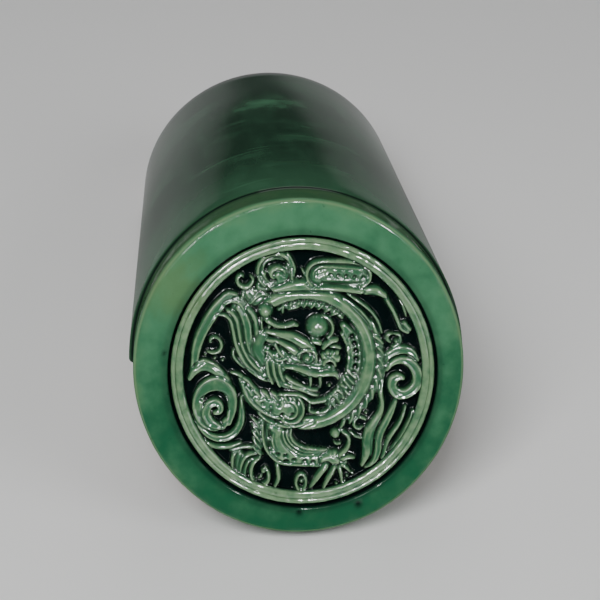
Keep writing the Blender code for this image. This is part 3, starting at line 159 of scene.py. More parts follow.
@dataclass
class Carving:
    """A raster of heights over the medallion's ground, in units of the drawing grid."""

    reach: float = 60.0
    cell: float = 0.15
    moat_floor: float = 0.40
    bead: float = 0.75
    hollow: float = 0.30
    height: np.ndarray = field(init=False)

    def __post_init__(self) -> None:
        """Starts from the flat ground."""
        self.steps = np.arange(-self.reach, self.reach + self.cell / 2, self.cell)
        self.height = np.zeros((len(self.steps), len(self.steps)))

    def nearest(self, path: np.ndarray, half: np.ndarray, margin: float) -> tuple:
        """Measures a window of the raster against a path: the least distance to any of its spans.

        Args:
            path: The path's places.
            half: The half-width at each place.
            margin: How far past the half-width the window reaches.

        Returns:
            The window, how far outside the edge each cell lies, and the half-width beside it.
        """
        low = np.searchsorted(self.steps, path.min(axis=0) - half.max() - margin)
        high = np.searchsorted(self.steps, path.max(axis=0) + half.max() + margin)
        window = np.s_[low[0]:high[0], low[1]:high[1]]
        u, v = np.meshgrid(self.steps[window[0]], self.steps[window[1]], indexing="ij")
        gap = np.full(u.shape, np.inf)
        width = np.ones(u.shape)
        for a, b, wide, next_wide in zip(path, path[1:], half, half[1:]):
            run = b - a
            share = np.clip(((u - a[0]) * run[0] + (v - a[1]) * run[1]) / max(run @ run, 1e-9), 0, 1)
            here = wide + (next_wide - wide) * share
            away = np.hypot(u - a[0] - share * run[0], v - a[1] - share * run[1]) - here
            closer = away < gap
            gap = np.where(closer, away, gap)
            width = np.where(closer, here, width)
        return window, gap, width

    def rise(self, gap: np.ndarray, width: np.ndarray, crown: Crown) -> np.ndarray:
        """Works out a band's height across it, as a share of its top.

        Round is one less the square of the share left to the middle, flat the same with the fourth
        power, keel the plain share, and ribbon a bead along each edge with a hollow between them.

        Args:
            gap: How far outside the band's edge each cell lies, below zero inside it.
            width: The half-width beside each cell.
            crown: Which cross-section the band has.

        Returns:
            The share of the top, 0 at the edge.
        """
        inward = np.clip(-gap / width, 0, 1)
        if crown is Crown.KEEL:
            return inward
        if crown is Crown.RIBBON:
            lift = 1 - (1 - np.clip(-gap / self.bead, 0, 1))**2
            dip = np.clip((-gap - self.bead) / self.bead, 0, 1)
            return lift - self.hollow * dip * dip * (3 - 2 * dip)
        return 1 - (1 - inward)**(2 if crown is Crown.ROUND else 4)

    def band(self, path: list, widths: list, top: float, moat: float = 0.7,
             crown: Crown = Crown.FLAT) -> None:
        """Lays a band along a path, over what is there, with a ditch cut beside it.

        Args:
            path: The points of its middle line.
            widths: Half-widths, spread evenly from its start to its end.
            top: The height of its crown.
            moat: How wide the ditch is.
            crown: Which cross-section it has.
        """
        path = followed(path)
        half = np.interp(np.linspace(0, 1, len(path)), np.linspace(0, 1, len(widths)), widths)
        window, gap, width = self.nearest(path, half, moat)
        under = self.height[window]
        laid = np.maximum(top * self.rise(gap, width, crown), self.moat_floor * under)
        ditch = under * (self.moat_floor + (1 - self.moat_floor) * np.clip(gap / moat, 0, 1))
        self.height[window] = np.where(gap < 0, laid, ditch)

    def ridge(self, path: list, widths: list, top: float, moat: float = 0.55) -> None:
        """Lays a rounded ridge along a path."""
        self.band(path, widths, top, moat, Crown.ROUND)

    def ball(self, centre: tuple, radius: float, top: float, crown: Crown = Crown.ROUND) -> None:
        """Lays a round knob, which is a band of no length."""
        self.band(np.array([centre, centre], float), [radius, radius], top, crown=crown)

    def knob(self, centre: tuple, radius: float, top: float) -> None:
        """Lays a round knob with a flat top."""
        self.ball(centre, radius, top, Crown.FLAT)

    def cut(self, path: list, width: float, depth: float) -> None:
        """Carves a line into what is there, its depth falling off as a bell across it.

        Args:
            path: The points of the line.
            width: The bell's half-width.
            depth: How deep it goes in its middle.
        """
        path = followed(path)
        window, gap, _ = self.nearest(path, np.zeros(len(path)), 2.5 * width)
        self.height[window] = np.maximum(self.height[window] - depth * np.exp(-(gap / width)**2), 0)

    def pits(self, path: list, count: int, radius: float, depth: float) -> None:
        """Sinks a row of round pits, evenly along a path."""
        path = np.asarray(path, float)
        for place in np.linspace(0, len(path) - 1, count).round().astype(int):
            self.cut(path[[place, place]], radius, depth)

    def at(self, raster: np.ndarray, u: np.ndarray, v: np.ndarray) -> np.ndarray:
        """Reads a raster between its cells, as the mean of the four around weighted by nearness."""
        i = np.clip((u + self.reach) / self.cell, 0, len(self.steps) - 1.001)
        j = np.clip((v + self.reach) / self.cell, 0, len(self.steps) - 1.001)
        a, b = i.astype(int), j.astype(int)
        s, t = i - a, j - b
        return ((1 - s) * (1 - t) * raster[a, b] + s * (1 - t) * raster[a + 1, b]
                + (1 - s) * t * raster[a, b + 1] + s * t * raster[a + 1, b + 1])


@dataclass
class DragonMedallion:
    """The coiled dragon and the cloud scrolls round it, drawn in units from the medallion's middle."""

    carving: Carving
    coil_centre: tuple = (0.5, 5.5)
    coil_radius: float = 32.5
    coil_half: float = 3.7
    coil_start: float = 124.0
    coil_end: float = -118.0

    def round_coil(self, off: float, start: float, end: float, count: int = 32) -> np.ndarray:
        """Follows the coil's middle line, or a line beside it, between two angles."""
        return arc(self.coil_centre, self.coil_radius + off, start, end, count)

    def left_clouds(self) -> None:
        """The long leaf by the ring, the hook over it, and the great scroll with the bands round it."""
        c = self.carving
        c.band([(-29, 38.5), (-25, 35), (-21, 35)], [2.6, 4.4, 3.0], 2.3, moat=0.4)
        c.band([(-34, 36.6), (-38, 36), (-43.6, 30), (-48.2, 23.4), (-51.8, 16.5), (-53.9, 9.5), (-54.8, 3),
                (-56.8, -4)], [1.4, 2.5, 3.0, 2.9, 2.7, 2.4, 1.9, 1.1], 3.8, crown=Crown.RIBBON)
        c.ridge([(-30.6, 37.4), (-30.6, 35.6), (-30, 33.8)], [0.6, 0.7, 0.5], 3.2)
        c.ridge([(-29.2, 38.2), (-27.8, 36), (-26.4, 34.6)], [0.6, 0.9, 0.7], 3.4)
        c.ridge([(-29.6, 31), (-26.6, 33), (-23.6, 36), (-20.6, 37.2), (-17.6, 36.4)],
                [0.7, 0.9, 1.0, 0.9, 0.6], 3.4)
        c.ridge([(-26.6, 40), (-24.4, 38.6), (-22, 39.6)], [0.5, 0.7, 0.5], 3.0)
        c.band([(-30.4, 45.4), (-31.4, 46.6), (-33, 45.8), (-33.4, 43.6), (-32, 41.4), (-29.2, 40.6),
                (-26.8, 42), (-25.6, 44.6), (-27, 46.2)], [0.5, 0.9, 1.2, 1.4, 1.4, 1.4, 1.4, 1.0, 0.4], 4.0,
               crown=Crown.ROUND)
        c.ridge([(-46.8, 13.6), (-46.4, 15.4), (-44.2, 16), (-42.2, 14.6), (-41.2, 12.2), (-41.8, 9.8),
                 (-43.6, 8.4), (-46, 8.2), (-48.4, 8.8)], [1.0, 1.0, 0.9, 0.9, 1.1, 1.1, 1.0, 1.0, 0.5], 3.4)
        for dot in ((-49.3, 7.2), (-44.6, 5.4), (-40.6, 4.4)):
            c.ball(dot, 0.9, 3.0)
        c.band([(-57.2, -4.6), (-54.4, -0.6), (-50.6, 1.8), (-46.6, 1), (-42.6, -1.6), (-39, -5.4),
                (-36, -10)], [1.2, 2.4, 3.1, 3.0, 2.8, 2.4, 1.2], 3.4, crown=Crown.FLAT)
        c.ridge([(-54.4, 1.8), (-51, 4.6), (-47, 3.8), (-43, 1.4), (-39.6, -2)], [0.5, 0.7, 0.7, 0.6, 0.4],
                3.9, moat=0.4)
        c.band([(-54.8, -29), (-51, -34.4), (-46.6, -37.7), (-41.6, -38.8), (-36.6, -38.4), (-31.4, -36.8)],
               [0.5, 1.1, 1.5, 1.6, 1.5, 0.7], 2.8, crown=Crown.FLAT)
        c.band([(-31.4, -13.5), (-31, -20), (-31.4, -26), (-34, -31), (-38, -33.8), (-43, -34.4),
                (-48, -32.4), (-52, -28.4), (-55.4, -22.6)], [0.6, 1.6, 1.9, 2.0, 2.0, 1.9, 1.7, 1.3, 0.5],
               3.3, crown=Crown.RIBBON)
        c.band([(-37.4, -26.4), (-35.9, -18.5), (-37.6, -11), (-43.6, -7.2), (-50.2, -9.8), (-53.3, -17),
                (-51.4, -24), (-46.4, -28), (-41.2, -28), (-38.4, -25)],
               [1.6, 2.7, 3.4, 4.1, 3.3, 2.8, 2.7, 2.5, 2.4, 1.4], 4.0, crown=Crown.RIBBON)
        c.band([(-42.4, -28.4), (-46.6, -26.4), (-48.9, -22), (-47.6, -17.8), (-44.4, -16.2), (-42, -17.8),
                (-42, -20.6), (-44.8, -21.6)], [1.6, 2.4, 2.4, 2.3, 2.2, 1.9, 1.7, 1.0], 3.9, moat=0.7,
               crown=Crown.RIBBON)
        c.cut([(-51, -14.6), (-47, -11.6), (-42.4, -11.2), (-38.8, -14), (-38.2, -20)], 0.7, 2.6)
        c.cut([(-41.6, -24.8), (-41.4, -26.6)], 0.9, 2.8)

    def lower_clouds(self) -> None:
        """The strands and scrolls along the foot of the field, from left to middle."""
        c = self.carving
        c.band([(-33, -41), (-31, -47), (-31.4, -54)], [2.0, 4.2, 3.4], 2.5, moat=0.4)
        c.ridge([(-32, -39.4), (-34.8, -42), (-35.7, -46), (-35.4, -51)], [0.8, 1.4, 1.2, 0.6], 3.6)
        c.ridge([(-37, -40.8), (-32, -39.2), (-26.6, -38.8), (-22.6, -40), (-20, -43)],
                [0.6, 0.9, 1.1, 1.0, 0.5], 3.2)
        c.ridge([(-22.6, -42.2), (-26.4, -42.2), (-29.8, -44.4), (-31.4, -48.6), (-32, -54)],
                [0.6, 1.3, 1.4, 1.1, 0.5], 3.6)
        c.ridge([(-24, -44.2), (-27.4, -46), (-29.2, -50), (-29.2, -55)], [0.6, 1.1, 1.1, 0.6], 3.1)
        c.ridge([(-27.4, -56), (-26, -59.4), (-22, -61)], [0.6, 1.0, 0.8], 2.8)
        c.band([(-19, -49.4), (-17.4, -52.6), (-18, -56.4), (-21.4, -58), (-25, -55.8), (-26.3, -51),
                (-24.9, -46.6), (-21.6, -43.8)], [0.9, 1.3, 1.4, 1.4, 1.4, 1.4, 1.4, 0.8], 3.8,
               crown=Crown.ROUND)
        c.ball((-20, -51), 1.6, 3.2)
        c.ridge([(-20.8, -53.4), (-22.4, -54.8)], [0.8, 0.6], 2.8)
        c.band([(-13.2, -46.6), (-12.6, -51), (-12.4, -55), (-14.2, -59)], [1.2, 1.4, 1.4, 0.7], 3.2,
               crown=Crown.FLAT)
        c.band(arc((-1, -56.6), (2.5, 4.2), 40, 400), [1.1, 1.1], 3.6, crown=Crown.ROUND)
        c.ball((-0.8, -56.2), 1.3, 3.2)
        c.ridge([(-4.5, -60.5), (-1, -61.8), (3, -60.5)], [0.7, 1.0, 0.7], 2.6)

    def right_clouds(self) -> None:
        """The right scroll, the streams that fall from its stem, and the small curls beside it."""
        c = self.carving
        c.ridge([(55.4, -20.6), (54, -25), (51.6, -30), (48.4, -35.6), (45, -40), (42, -45)],
                [0.6, 1.1, 1.4, 1.4, 1.2, 0.6], 3.0)
        c.ridge([(51.6, -18.6), (50.4, -23), (48, -28), (44.6, -32.8), (42.4, -37), (41, -42), (39.6, -45)],
                [0.7, 1.1, 1.4, 1.5, 1.4, 1.3, 0.6], 3.4)
        c.band([(46.6, -15.6), (44.4, -21), (42, -26), (39.6, -30.6), (38.2, -35.6), (37.8, -41), (35.8, -46),
                (31.4, -49.6)], [1.2, 1.7, 1.9, 2.0, 2.0, 1.9, 1.5, 0.6], 3.6, crown=Crown.RIBBON)
        c.band([(41.4, 4), (40, -1), (39.1, -6), (38.8, -11), (39.6, -17), (38.6, -22), (36, -26.4),
                (33.6, -31), (32.6, -36.6), (32.4, -42), (29.6, -48.4)],
               [1.4, 1.4, 1.4, 1.4, 1.5, 1.8, 2.4, 3.0, 3.2, 2.9, 0.7], 3.8)
        c.cut([(38.8, -22.6), (35.6, -29), (34.2, -36), (34, -42), (31.6, -47.4)], 0.4, 1.1)
        c.cut([(32.4, -31), (31.2, -37), (30.8, -43)], 0.35, 0.8)
        c.band([(39.6, 1.6), (41.6, 5.8), (45.4, 8.7), (50, 9.8), (54.6, 8.2), (57.6, 4.4)],
               [1.0, 1.9, 2.2, 2.3, 2.0, 1.0], 3.3, crown=Crown.RIBBON)
        c.band([(41.6, -0.6), (44.4, 3.2), (49, 4.8), (53.4, 3.4), (56.6, -0.4), (57.6, -5), (55.8, -9.2),
                (51.6, -12), (47.2, -12), (44.9, -9), (45, -5.4), (47.6, -3.6), (50.4, -4.4)],
               [0.7, 1.5, 1.9, 2.5, 2.8, 2.8, 2.7, 2.6, 2.7, 2.6, 2.5, 1.9, 1.0], 4.2, moat=0.8,
               crown=Crown.RIBBON)
        c.cut([(46.4, -7.4), (47.2, -9.8), (49, -11.8)], 0.5, 1.2)
        c.band([(44.6, 17.6), (42.4, 17.4), (41.8, 15), (43.4, 13.4)], [0.6, 1.1, 1.3, 0.8], 3.2,
               crown=Crown.ROUND)
        c.ridge([(45.6, 17.4), (48, 17), (48.4, 13.8), (46.6, 12), (44, 11.2)], [0.6, 0.9, 1.1, 0.9, 0.5],
                3.2)
        c.ball((46.4, 13.9), 1.4, 3.3)
        c.band([(31.6, -25.4), (30.6, -24.6), (28, -24.2), (25.8, -25.8), (25.8, -28.4), (28, -29.8),
                (30, -28.8)], [0.7, 1.0, 1.0, 1.1, 1.1, 1.1, 0.5], 3.4, crown=Crown.ROUND)
        c.ball((31.6, -22), 1.0, 2.8)
        c.ridge([(24, -31.4), (26.2, -33.6), (29.4, -34.8)], [0.6, 0.9, 0.6], 3.0)

    def upper_clouds(self) -> None:
        """The round boss at the upper left and the strokes between it and the scaled pad."""
        c = self.carving
        c.band([(-22, 41), (-12, 41.4), (-2, 42), (5, 43)], [2.6, 3.8, 3.8, 2.6], 2.8, moat=0.4)
        c.knob((-14.4, 48.4), 10.0, 2.9)
        c.band(arc((-14.4, 48.4), (8.9, 8.8), 236, -50, 64), [0.9, 1.3, 1.5, 1.6, 1.5, 1.2], 3.8,
               crown=Crown.ROUND)
        for row in range(4):
            c.ridge([(-23 + 1.4 * row, 46.4 - 1.4 * row), (-20.6 + 1.4 * row, 44.2 - 1.5 * row),
                     (-18.4 + 1.3 * row, 41.2 - 1.1 * row)], [0.5, 0.7, 0.4], 3.3, moat=0.5)
        c.knob((-12.8, 46.6), 5.6, 3.6)
        c.cut([(-19.4, 49), (-18, 51.6), (-14, 53), (-10, 52.2)], 1.1, 3.4)
        c.band(arc((-13.2, 47.2), (3.6, 3.0), 10, 240), [0.9, 1.5, 1.7, 0.9], 4.1, moat=0.5,
               crown=Crown.ROUND)
        c.cut([(-18.6, 46.4), (-17, 44.6), (-14.4, 43.8)], 0.8, 2.4)
        c.ridge([(-8.6, 57.4), (-6.4, 54), (-5, 50.6), (-4.6, 47.6)], [0.7, 0.8, 0.8, 0.4], 3.5)
        c.ridge([(-6.8, 50), (-6.4, 45.6), (-4.6, 42.2), (-2, 40.8)], [0.5, 0.9, 1.1, 0.6], 3.6)
        c.ridge([(-1.2, 49.6), (0.6, 45.6), (2.2, 42.8), (3.8, 40.8)], [0.5, 0.9, 1.1, 0.5], 3.6)
        c.cut([(-3, 47.6), (-2.2, 44.6)], 1.2, 2.2)

    def mane(self) -> None:
        """The locks that stream back and down from the head."""
        c = self.carving
        c.band([(-33.4, 33.6), (-31, 26), (-29.4, 18), (-27.4, 10), (-24.8, 3.4), (-19, -3.4)],
               [3.0, 6.6, 7.4, 7.2, 5.4, 1.6], 2.7, moat=0.4)
        c.band([(-28, 30), (-25.6, 27), (-24.2, 23), (-23.4, 17.6), (-22, 12), (-19.8, 7.6)],
               [1.6, 2.0, 1.9, 1.8, 1.6, 0.8], 3.6, crown=Crown.ROUND)
        c.ridge([(-21.4, 25.2), (-21, 20), (-20, 15.6), (-18, 12)], [0.6, 1.0, 1.0, 0.6], 3.4)
        c.band([(-33.4, 31), (-30.2, 27), (-28.4, 21.6), (-27.6, 15), (-26, 9.2), (-22.6, 4)],
               [1.2, 2.1, 2.3, 2.1, 1.8, 0.8], 3.7, crown=Crown.RIBBON)
        c.ridge([(-25.6, 14.6), (-24.6, 9.4), (-21.4, 5.8), (-18.6, 5.6)], [0.5, 0.9, 1.0, 0.6], 3.8)
        c.ridge([(-39.4, 32.6), (-35.8, 33.8), (-32, 32.4), (-29.4, 28.6)], [1.0, 1.1, 1.0, 0.5], 3.8)
        c.band([(-38.4, 29.4), (-35.6, 27.6), (-33.4, 23.6), (-32.6, 18), (-31.4, 12.4), (-29, 7),
                (-25.2, 2.2), (-20.4, -1.8)], [1.0, 1.7, 1.7, 1.6, 1.5, 1.6, 1.4, 0.5], 4.0,
               crown=Crown.ROUND)
        c.band([(-43.2, 27.2), (-39.6, 26.9), (-36.8, 24.4), (-35.4, 19.6), (-34.2, 13.6), (-31.8, 7.4),
                (-28.4, 2), (-23.6, -2.2)], [0.6, 1.1, 1.4, 1.4, 1.5, 1.6, 1.4, 0.6], 3.8, crown=Crown.ROUND)
        c.ridge([(-35.4, 9.6), (-35.2, 6.6), (-33, 3.6), (-29.6, 0.6)], [0.7, 1.1, 1.1, 0.6], 3.2)
        c.ridge([(-28.6, 0.4), (-24.6, -2.6), (-21, -4.9), (-16.6, -6.4)], [0.6, 0.8, 0.8, 0.4], 3.2)
        for root, tip in (((-33.8, 20), (-32.6, 13)), ((-30.4, 22), (-29.4, 13.6)),
                          ((-25.6, 24), (-25.4, 15.6))):
            c.cut([root, tip], 0.35, 1.2)

    def coil(self) -> None:
        """The coiled body, the fringe along its back and the comb along its belly."""
        c = self.carving
        c.band(self.round_coil(5.2, 30, -54), [1.0, 2.6, 3.0, 2.8, 1.2], 2.6, moat=0.5)
        for angle in np.arange(18, -56, -8.2):
            c.ridge(np.array([self.round_coil(3.4, angle, angle, 1)[0],
                              self.round_coil(5.6, angle - 3, angle - 3, 1)[0],
                              self.round_coil(7.6, angle - 8, angle - 8, 1)[0]]), [1.5, 1.3, 0.5], 3.3,
                    moat=0.6)
        c.band(self.round_coil(-5.0, 118, 48), [1.4, 2.6, 2.4, 1.4], 2.6, moat=0.5)
        c.band(self.round_coil(-7.4, 40, -60), [2.0, 4.8, 5.4, 5.2, 4.4, 3.2], 2.8, moat=0.5)
        for angle in np.arange(112, 50, -8.4):
            c.ridge(np.array([self.round_coil(-3.0, angle, angle, 1)[0],
                              self.round_coil(-7.6, angle + 5, angle + 5, 1)[0]]), [1.4, 0.6], 3.4, moat=0.9)
        c.ridge([(-8, 29.6), (-5, 30.4), (-2.6, 31)], [0.6, 0.9, 0.6], 3.2)
        c.band(self.round_coil(-10.6, 34, -26), [0.6, 1.0, 1.0, 0.6], 3.6, moat=0.4, crown=Crown.ROUND)
        for row, (start, end, count) in enumerate(((24, -18, 6), (16, -20, 4))):
            c.pits(self.round_coil(-6.6 - 5.6 * row, start, end, 97), count, 1.6, 3.4)
        for angle in np.arange(-22, -66, -6.0):
            c.ridge(np.array([self.round_coil(-3.2, angle, angle, 1)[0],
                              self.round_coil(-10.4, angle + 6, angle + 6, 1)[0]]), [1.1, 0.6], 3.7, moat=0.8)
        c.band(self.round_coil(0, self.coil_start, self.coil_end, 64),
               [3.2, 3.9, self.coil_half, self.coil_half, 4.0, self.coil_half, 3.4, 3.0], 4.6)
        c.cut(self.round_coil(2.5, 60, -62, 64), 0.4, 0.6)
        c.cut(self.round_coil(-2.5, 100, -84, 64), 0.4, 0.6)

    def hind_leg(self) -> None:
        """The scaled pad of the thigh, the folded shank and the spines, at the upper right."""
        c = self.carving
        c.ridge([(19.4, 35.6), (24.6, 31.8), (29, 28), (32.6, 23.6), (33.8, 19.4)], [0.7, 1.0, 1.2, 1.0, 0.5],
                3.0)
        c.ridge([(21.6, 37.4), (26.4, 34.2), (31.4, 30.6), (35, 27), (37.6, 22.6), (39.2, 17.6)],
                [0.7, 1.0, 1.0, 1.0, 0.9, 0.4], 3.6)
        c.ridge([(46.4, 37.4), (48.6, 34.2), (50, 30.4), (51.4, 26)], [0.7, 1.1, 1.0, 0.5], 3.0)
        c.band([(50.4, 22.6), (52.8, 19.6)], [1.6, 1.6], 2.8)
        c.ridge([(40, 36.8), (42.4, 32.8), (44.8, 28.8), (46.8, 24.4), (48.8, 20.2), (52.4, 18.2)],
                [1.9, 1.4, 1.3, 1.2, 1.2, 0.8], 3.9)
        c.band([(27.6, 39), (32, 39.2), (36, 38.8), (40, 36.8)], [2.2, 2.6, 2.7, 1.8], 4.0, crown=Crown.FLAT)
        c.cut([(30, 38.4), (35, 37.6), (39, 36)], 0.4, 0.9)
        c.band([(-15, 39.6), (-6, 41.2), (6, 41.8), (18, 41.2), (28, 39.4)], [1.6, 2.8, 3.2, 3.2, 2.4], 4.2,
               moat=0.2)
        c.band([(7.5, 47.2), (16, 47.4), (27, 46.4)], [6.2, 6.4, 6.2], 3.2, moat=0.3)
        c.cut([(8.5, 43), (15, 42.4), (22, 42.4), (28, 43)], 0.6, 1.6)
        c.ridge([(9, 44.4), (16, 44.5), (23, 44.2), (29, 43.8)], [0.5, 0.8, 0.8, 0.5], 3.9, moat=0.4)
        c.ridge([(4.2, 45.6), (4.6, 48.6), (7.6, 50.7), (13, 50.8), (20, 50.4), (26.6, 49.8), (29.8, 47.6)],
                [0.5, 0.8, 0.9, 0.8, 0.8, 0.8, 0.4], 3.8, moat=0.5)
        c.ridge([(6.6, 46.8), (8.4, 48.6), (11, 48.4)], [0.5, 0.8, 0.5], 3.7, moat=0.4)
        c.ridge([(4, 41.4), (1.6, 44.4), (1.4, 48.8), (4.2, 52.4), (9, 53.6), (16, 53.6), (24, 53.2),
                 (30, 51.6), (32.8, 47.8), (32.2, 43.8), (28.6, 41)],
                [0.8, 1.0, 1.1, 1.2, 1.2, 1.2, 1.2, 1.2, 1.2, 1.1, 0.8], 4.4, moat=0.6)
        for place in range(5):
            c.band(arc((13 + 4.1 * place, 46.4 - 0.25 * place), (1.9, 1.9), 205, -25), [0.5, 0.6, 0.5], 3.8,
                   moat=0.4, crown=Crown.ROUND)
        c.pits(smooth_path([(13, 46.6), (21, 46.1), (29.4, 45.4)], 61), 5, 0.9, 2.8)

    def foreleg(self) -> None:
        """The foreleg: shoulder, fringed forearm, and the clawed foot."""
        c = self.carving
        c.band([(-20.6, -26), (-21.6, -32), (-20.6, -38)], [2.4, 3.6, 2.0], 2.4, moat=0.4)
        c.band([(-13.6, -23), (-14.2, -31), (-12.4, -39.4), (-6, -42.8), (4, -43.6), (12, -44.4), (18, -45)],
               [4.4, 5.2, 6.2, 5.2, 4.7, 5.0, 4.8], 3.8)
        for tooth in range(5):
            c.ridge([(-26.4 + 0.3 * tooth, -24 - 3.5 * tooth), (-24, -26.2 - 3.5 * tooth),
                     (-21.4, -30.2 - 3.1 * tooth)], [0.4, 0.9, 0.9], 3.4, moat=0.6)
        c.band([(-32, -4.4), (-29.6, -9), (-26, -13.6), (-20.5, -17), (-13.5, -19.4), (-6.4, -20)],
               [0.8, 2.2, 4.2, 5.6, 7.0, 7.6], 3.6)
        c.ridge([(-36.4, -1.6), (-33.4, -2.2), (-30.8, -3.8), (-29.4, -6.6)], [0.6, 0.9, 1.2, 0.9], 3.9)
        c.ridge([(-30, -4.2), (-27.8, -5.6), (-25.6, -8.4), (-22.4, -10.8)], [0.8, 1.2, 1.1, 0.6], 4.2,
                moat=0.5)
        c.ridge([(-30.8, -6.6), (-29.2, -11.4), (-26.2, -16), (-21.4, -20.2), (-16, -23), (-11, -24.6)],
                [0.9, 1.1, 1.1, 1.1, 1.0, 0.8], 4.3, moat=0.5)
        for tuft in range(5):
            spot = np.array([-23.6 + 4.6 * tuft, -11.2 - 0.7 * tuft])
            c.ridge(np.array([spot + (-1.9, 1.4), spot, spot + (1.7, -2.2)]), [0.5, 1.2, 0.8], 4.3, moat=0.6)
        c.pits(smooth_path([(-25, -13.4), (-20.6, -16.6), (-16.4, -18)], 31), 3, 0.9, 2.0)
        c.band(arc((-6.6, -19.6), (6.6, 7.0), 96, -128, 48), [0.8, 1.0, 1.2, 1.0], 4.6, moat=0.5,
               crown=Crown.ROUND)
        c.band(arc((-7, -20), (3.9, 4.2), 120, -150, 36), [0.6, 0.9, 0.9, 0.6], 4.5, moat=0.5,
               crown=Crown.ROUND)
        c.ridge([(-22.6, -22), (-17.6, -25.6), (-12, -27.6), (-6, -28.4), (0, -27), (5, -25.2)],
                [0.6, 0.9, 1.0, 1.1, 1.1, 0.6], 4.2, moat=0.5)
        for hole in ((-6.2, -22.4), (-11.4, -22.8), (-12.8, -17.4), (-16.6, -20.6), (-14, -26.4)):
            c.cut([hole, (hole[0] + 0.6, hole[1] + 0.5)], 0.8, 2.2)
        c.ridge([(-20.6, -27), (-20.4, -33), (-19, -39), (-15.6, -43.8), (-10.6, -47), (-4, -47.6), (3, -48),
                 (9.4, -48.6)], [0.8, 1.0, 1.1, 1.0, 0.8, 0.7, 0.7, 0.5], 4.3, moat=0.5)
        c.ridge([(-15.2, -31.6), (-15.6, -36), (-14.2, -39.8)], [0.5, 0.8, 0.6], 4.3, moat=0.6)
        for ring, (reach, wide) in enumerate(((0.0, 1.0), (1.9, 0.8), (3.7, 0.8))):
            c.ridge([(-6.2 - reach, -29.4 - 0.6 * ring), (-6.4 - reach, -33.2),
                     (-4 - reach, -36.8 - 0.5 * ring), (0.6 - 0.7 * reach, -39.2 - 0.7 * reach),
                     (6.4, -40 - 0.7 * reach), (12, -40.4 - 0.5 * reach)],
                    [0.7 * wide, wide, wide, wide, 0.8 * wide, 0.5 * wide], 4.5 - 0.1 * ring, moat=0.5)
        c.cut([(-17.2, -30.6), (-16.9, -34)], 0.9, 3.0)
        c.cut([(-17.3, -36.4), (-16.6, -39.4)], 0.8, 2.8)
        for pit in ((-13.4, -42), (-9.4, -42.6), (-9, -45.5), (-5, -44.8), (0.3, -45.4), (4.5, -45.9),
                    (8.8, -46.1), (1.3, -38.1), (6, -38.6), (10.6, -38.9)):
            c.cut([pit, (pit[0] + 0.9, pit[1])], 0.8, 3.0)
        c.band([(11, -45.2), (15, -45), (19.4, -46)], [3.4, 5.0, 3.6], 4.2, moat=0.3)
        for root, knuckle, tip, wide in (((11.6, -48), (7, -54.5), (3.6, -59.4), 2.4),
                                         ((16, -49), (12.6, -55), (10, -60.4), 2.0),
                                         ((18.4, -49), (19.4, -53.4), (19.8, -57.4), 1.6),
                                         ((20, -44.6), (23, -43.9), (26.2, -44.4), 1.7),
                                         ((19.6, -47.6), (22.4, -49.6), (24.4, -52.4), 1.4)):
            c.ridge([root, knuckle, tip], [wide, 0.75 * wide, 0.5], 4.3, moat=0.5)
        for angle in (214, 237, 252, 272, 300, 330, 20, 60, 105):
            ray = np.radians(angle)
            spot = np.array([15.8, -45.4])
            c.cut(np.array([spot + 2.4 * np.array([np.cos(ray), np.sin(ray)]),
                            spot + 5.6 * np.array([np.cos(ray), np.sin(ray)])]), 0.4, 1.1)
        c.ridge([(18, -43), (20.6, -41.2), (22.6, -38.6), (23.2, -35), (21.8, -32.4), (19, -30.8)],
                [1.0, 1.4, 1.4, 1.3, 1.2, 1.0], 4.4)
        c.ball((16.2, -32.2), 3.0, 4.3)
        c.ridge([(15.6, -36.6), (17, -37.4), (19, -37)], [0.6, 0.8, 0.6], 3.6)
        for bit in ((22.4, -53.8), (25, -52.4), (21.4, -56.8), (17, -57.6)):
            c.ball(bit, 1.0, 2.8)

    def head(self) -> None:
        """The head that looks out to the right with open jaws, and the pearl before its brow."""
        c = self.carving
        c.band([(-20, 4), (-22, 10), (-20, 17)], [3.0, 4.6, 3.0], 2.8, moat=0.2)
        c.band([(-15, 11), (-10, 7.6), (-4, 3.6), (5, 1.6), (12, 0.4)], [5.0, 8.0, 8.6, 6.4, 4.6], 3.0,
               moat=0.3)
        c.band([(-14.6, 6), (-13, 0), (-9, -5), (-3, -8.4), (4, -11)], [4.6, 5.8, 5.0, 2.6, 1.4], 3.4,
               moat=0.5)
        c.band([(-18.8, 19), (-13, 17.8), (-6, 16), (0, 12.6), (4, 9.6)], [0.8, 1.7, 2.6, 3.0, 2.6], 4.3,
               crown=Crown.FLAT)
        c.band([(-18.6, 15.2), (-12, 13.4), (-5.6, 10), (-0.6, 6)], [0.9, 1.8, 2.4, 1.6], 4.5, moat=0.5,
               crown=Crown.FLAT)
        c.ridge([(-19.6, 9.6), (-17.4, 8.8), (-15.6, 6.4)], [0.8, 1.2, 0.8], 4.2, moat=0.5)
        c.ridge([(-14.6, 13.2), (-12.8, 9.6), (-10.2, 6.6), (-6.6, 4)], [0.8, 1.2, 1.1, 0.7], 4.5, moat=0.5)
        c.ridge([(-14.4, 4.8), (-11.4, 5), (-8.6, 5.9)], [0.6, 1.0, 0.7], 4.6, moat=0.4)
        c.cut([(-19.2, 12.6), (-16.6, 11.6), (-14.8, 9)], 0.7, 2.8)
        c.cut([(-12.6, 12.6), (-9.8, 10.4), (-7.2, 7.6)], 0.65, 2.8)
        for lock, (top, foot) in enumerate((((-18.6, 4.6), (-15.6, -7)), ((-15.6, 3.8), (-12, -8.4)),
                                            ((-12.6, 3), (-8.8, -7.6)))):
            middle = ((top[0] + foot[0]) / 2 - 0.8, (top[1] + foot[1]) / 2)
            c.ridge([top, middle, foot], [1.0, 1.5, 0.9], 4.1 + 0.1 * lock, moat=0.4)
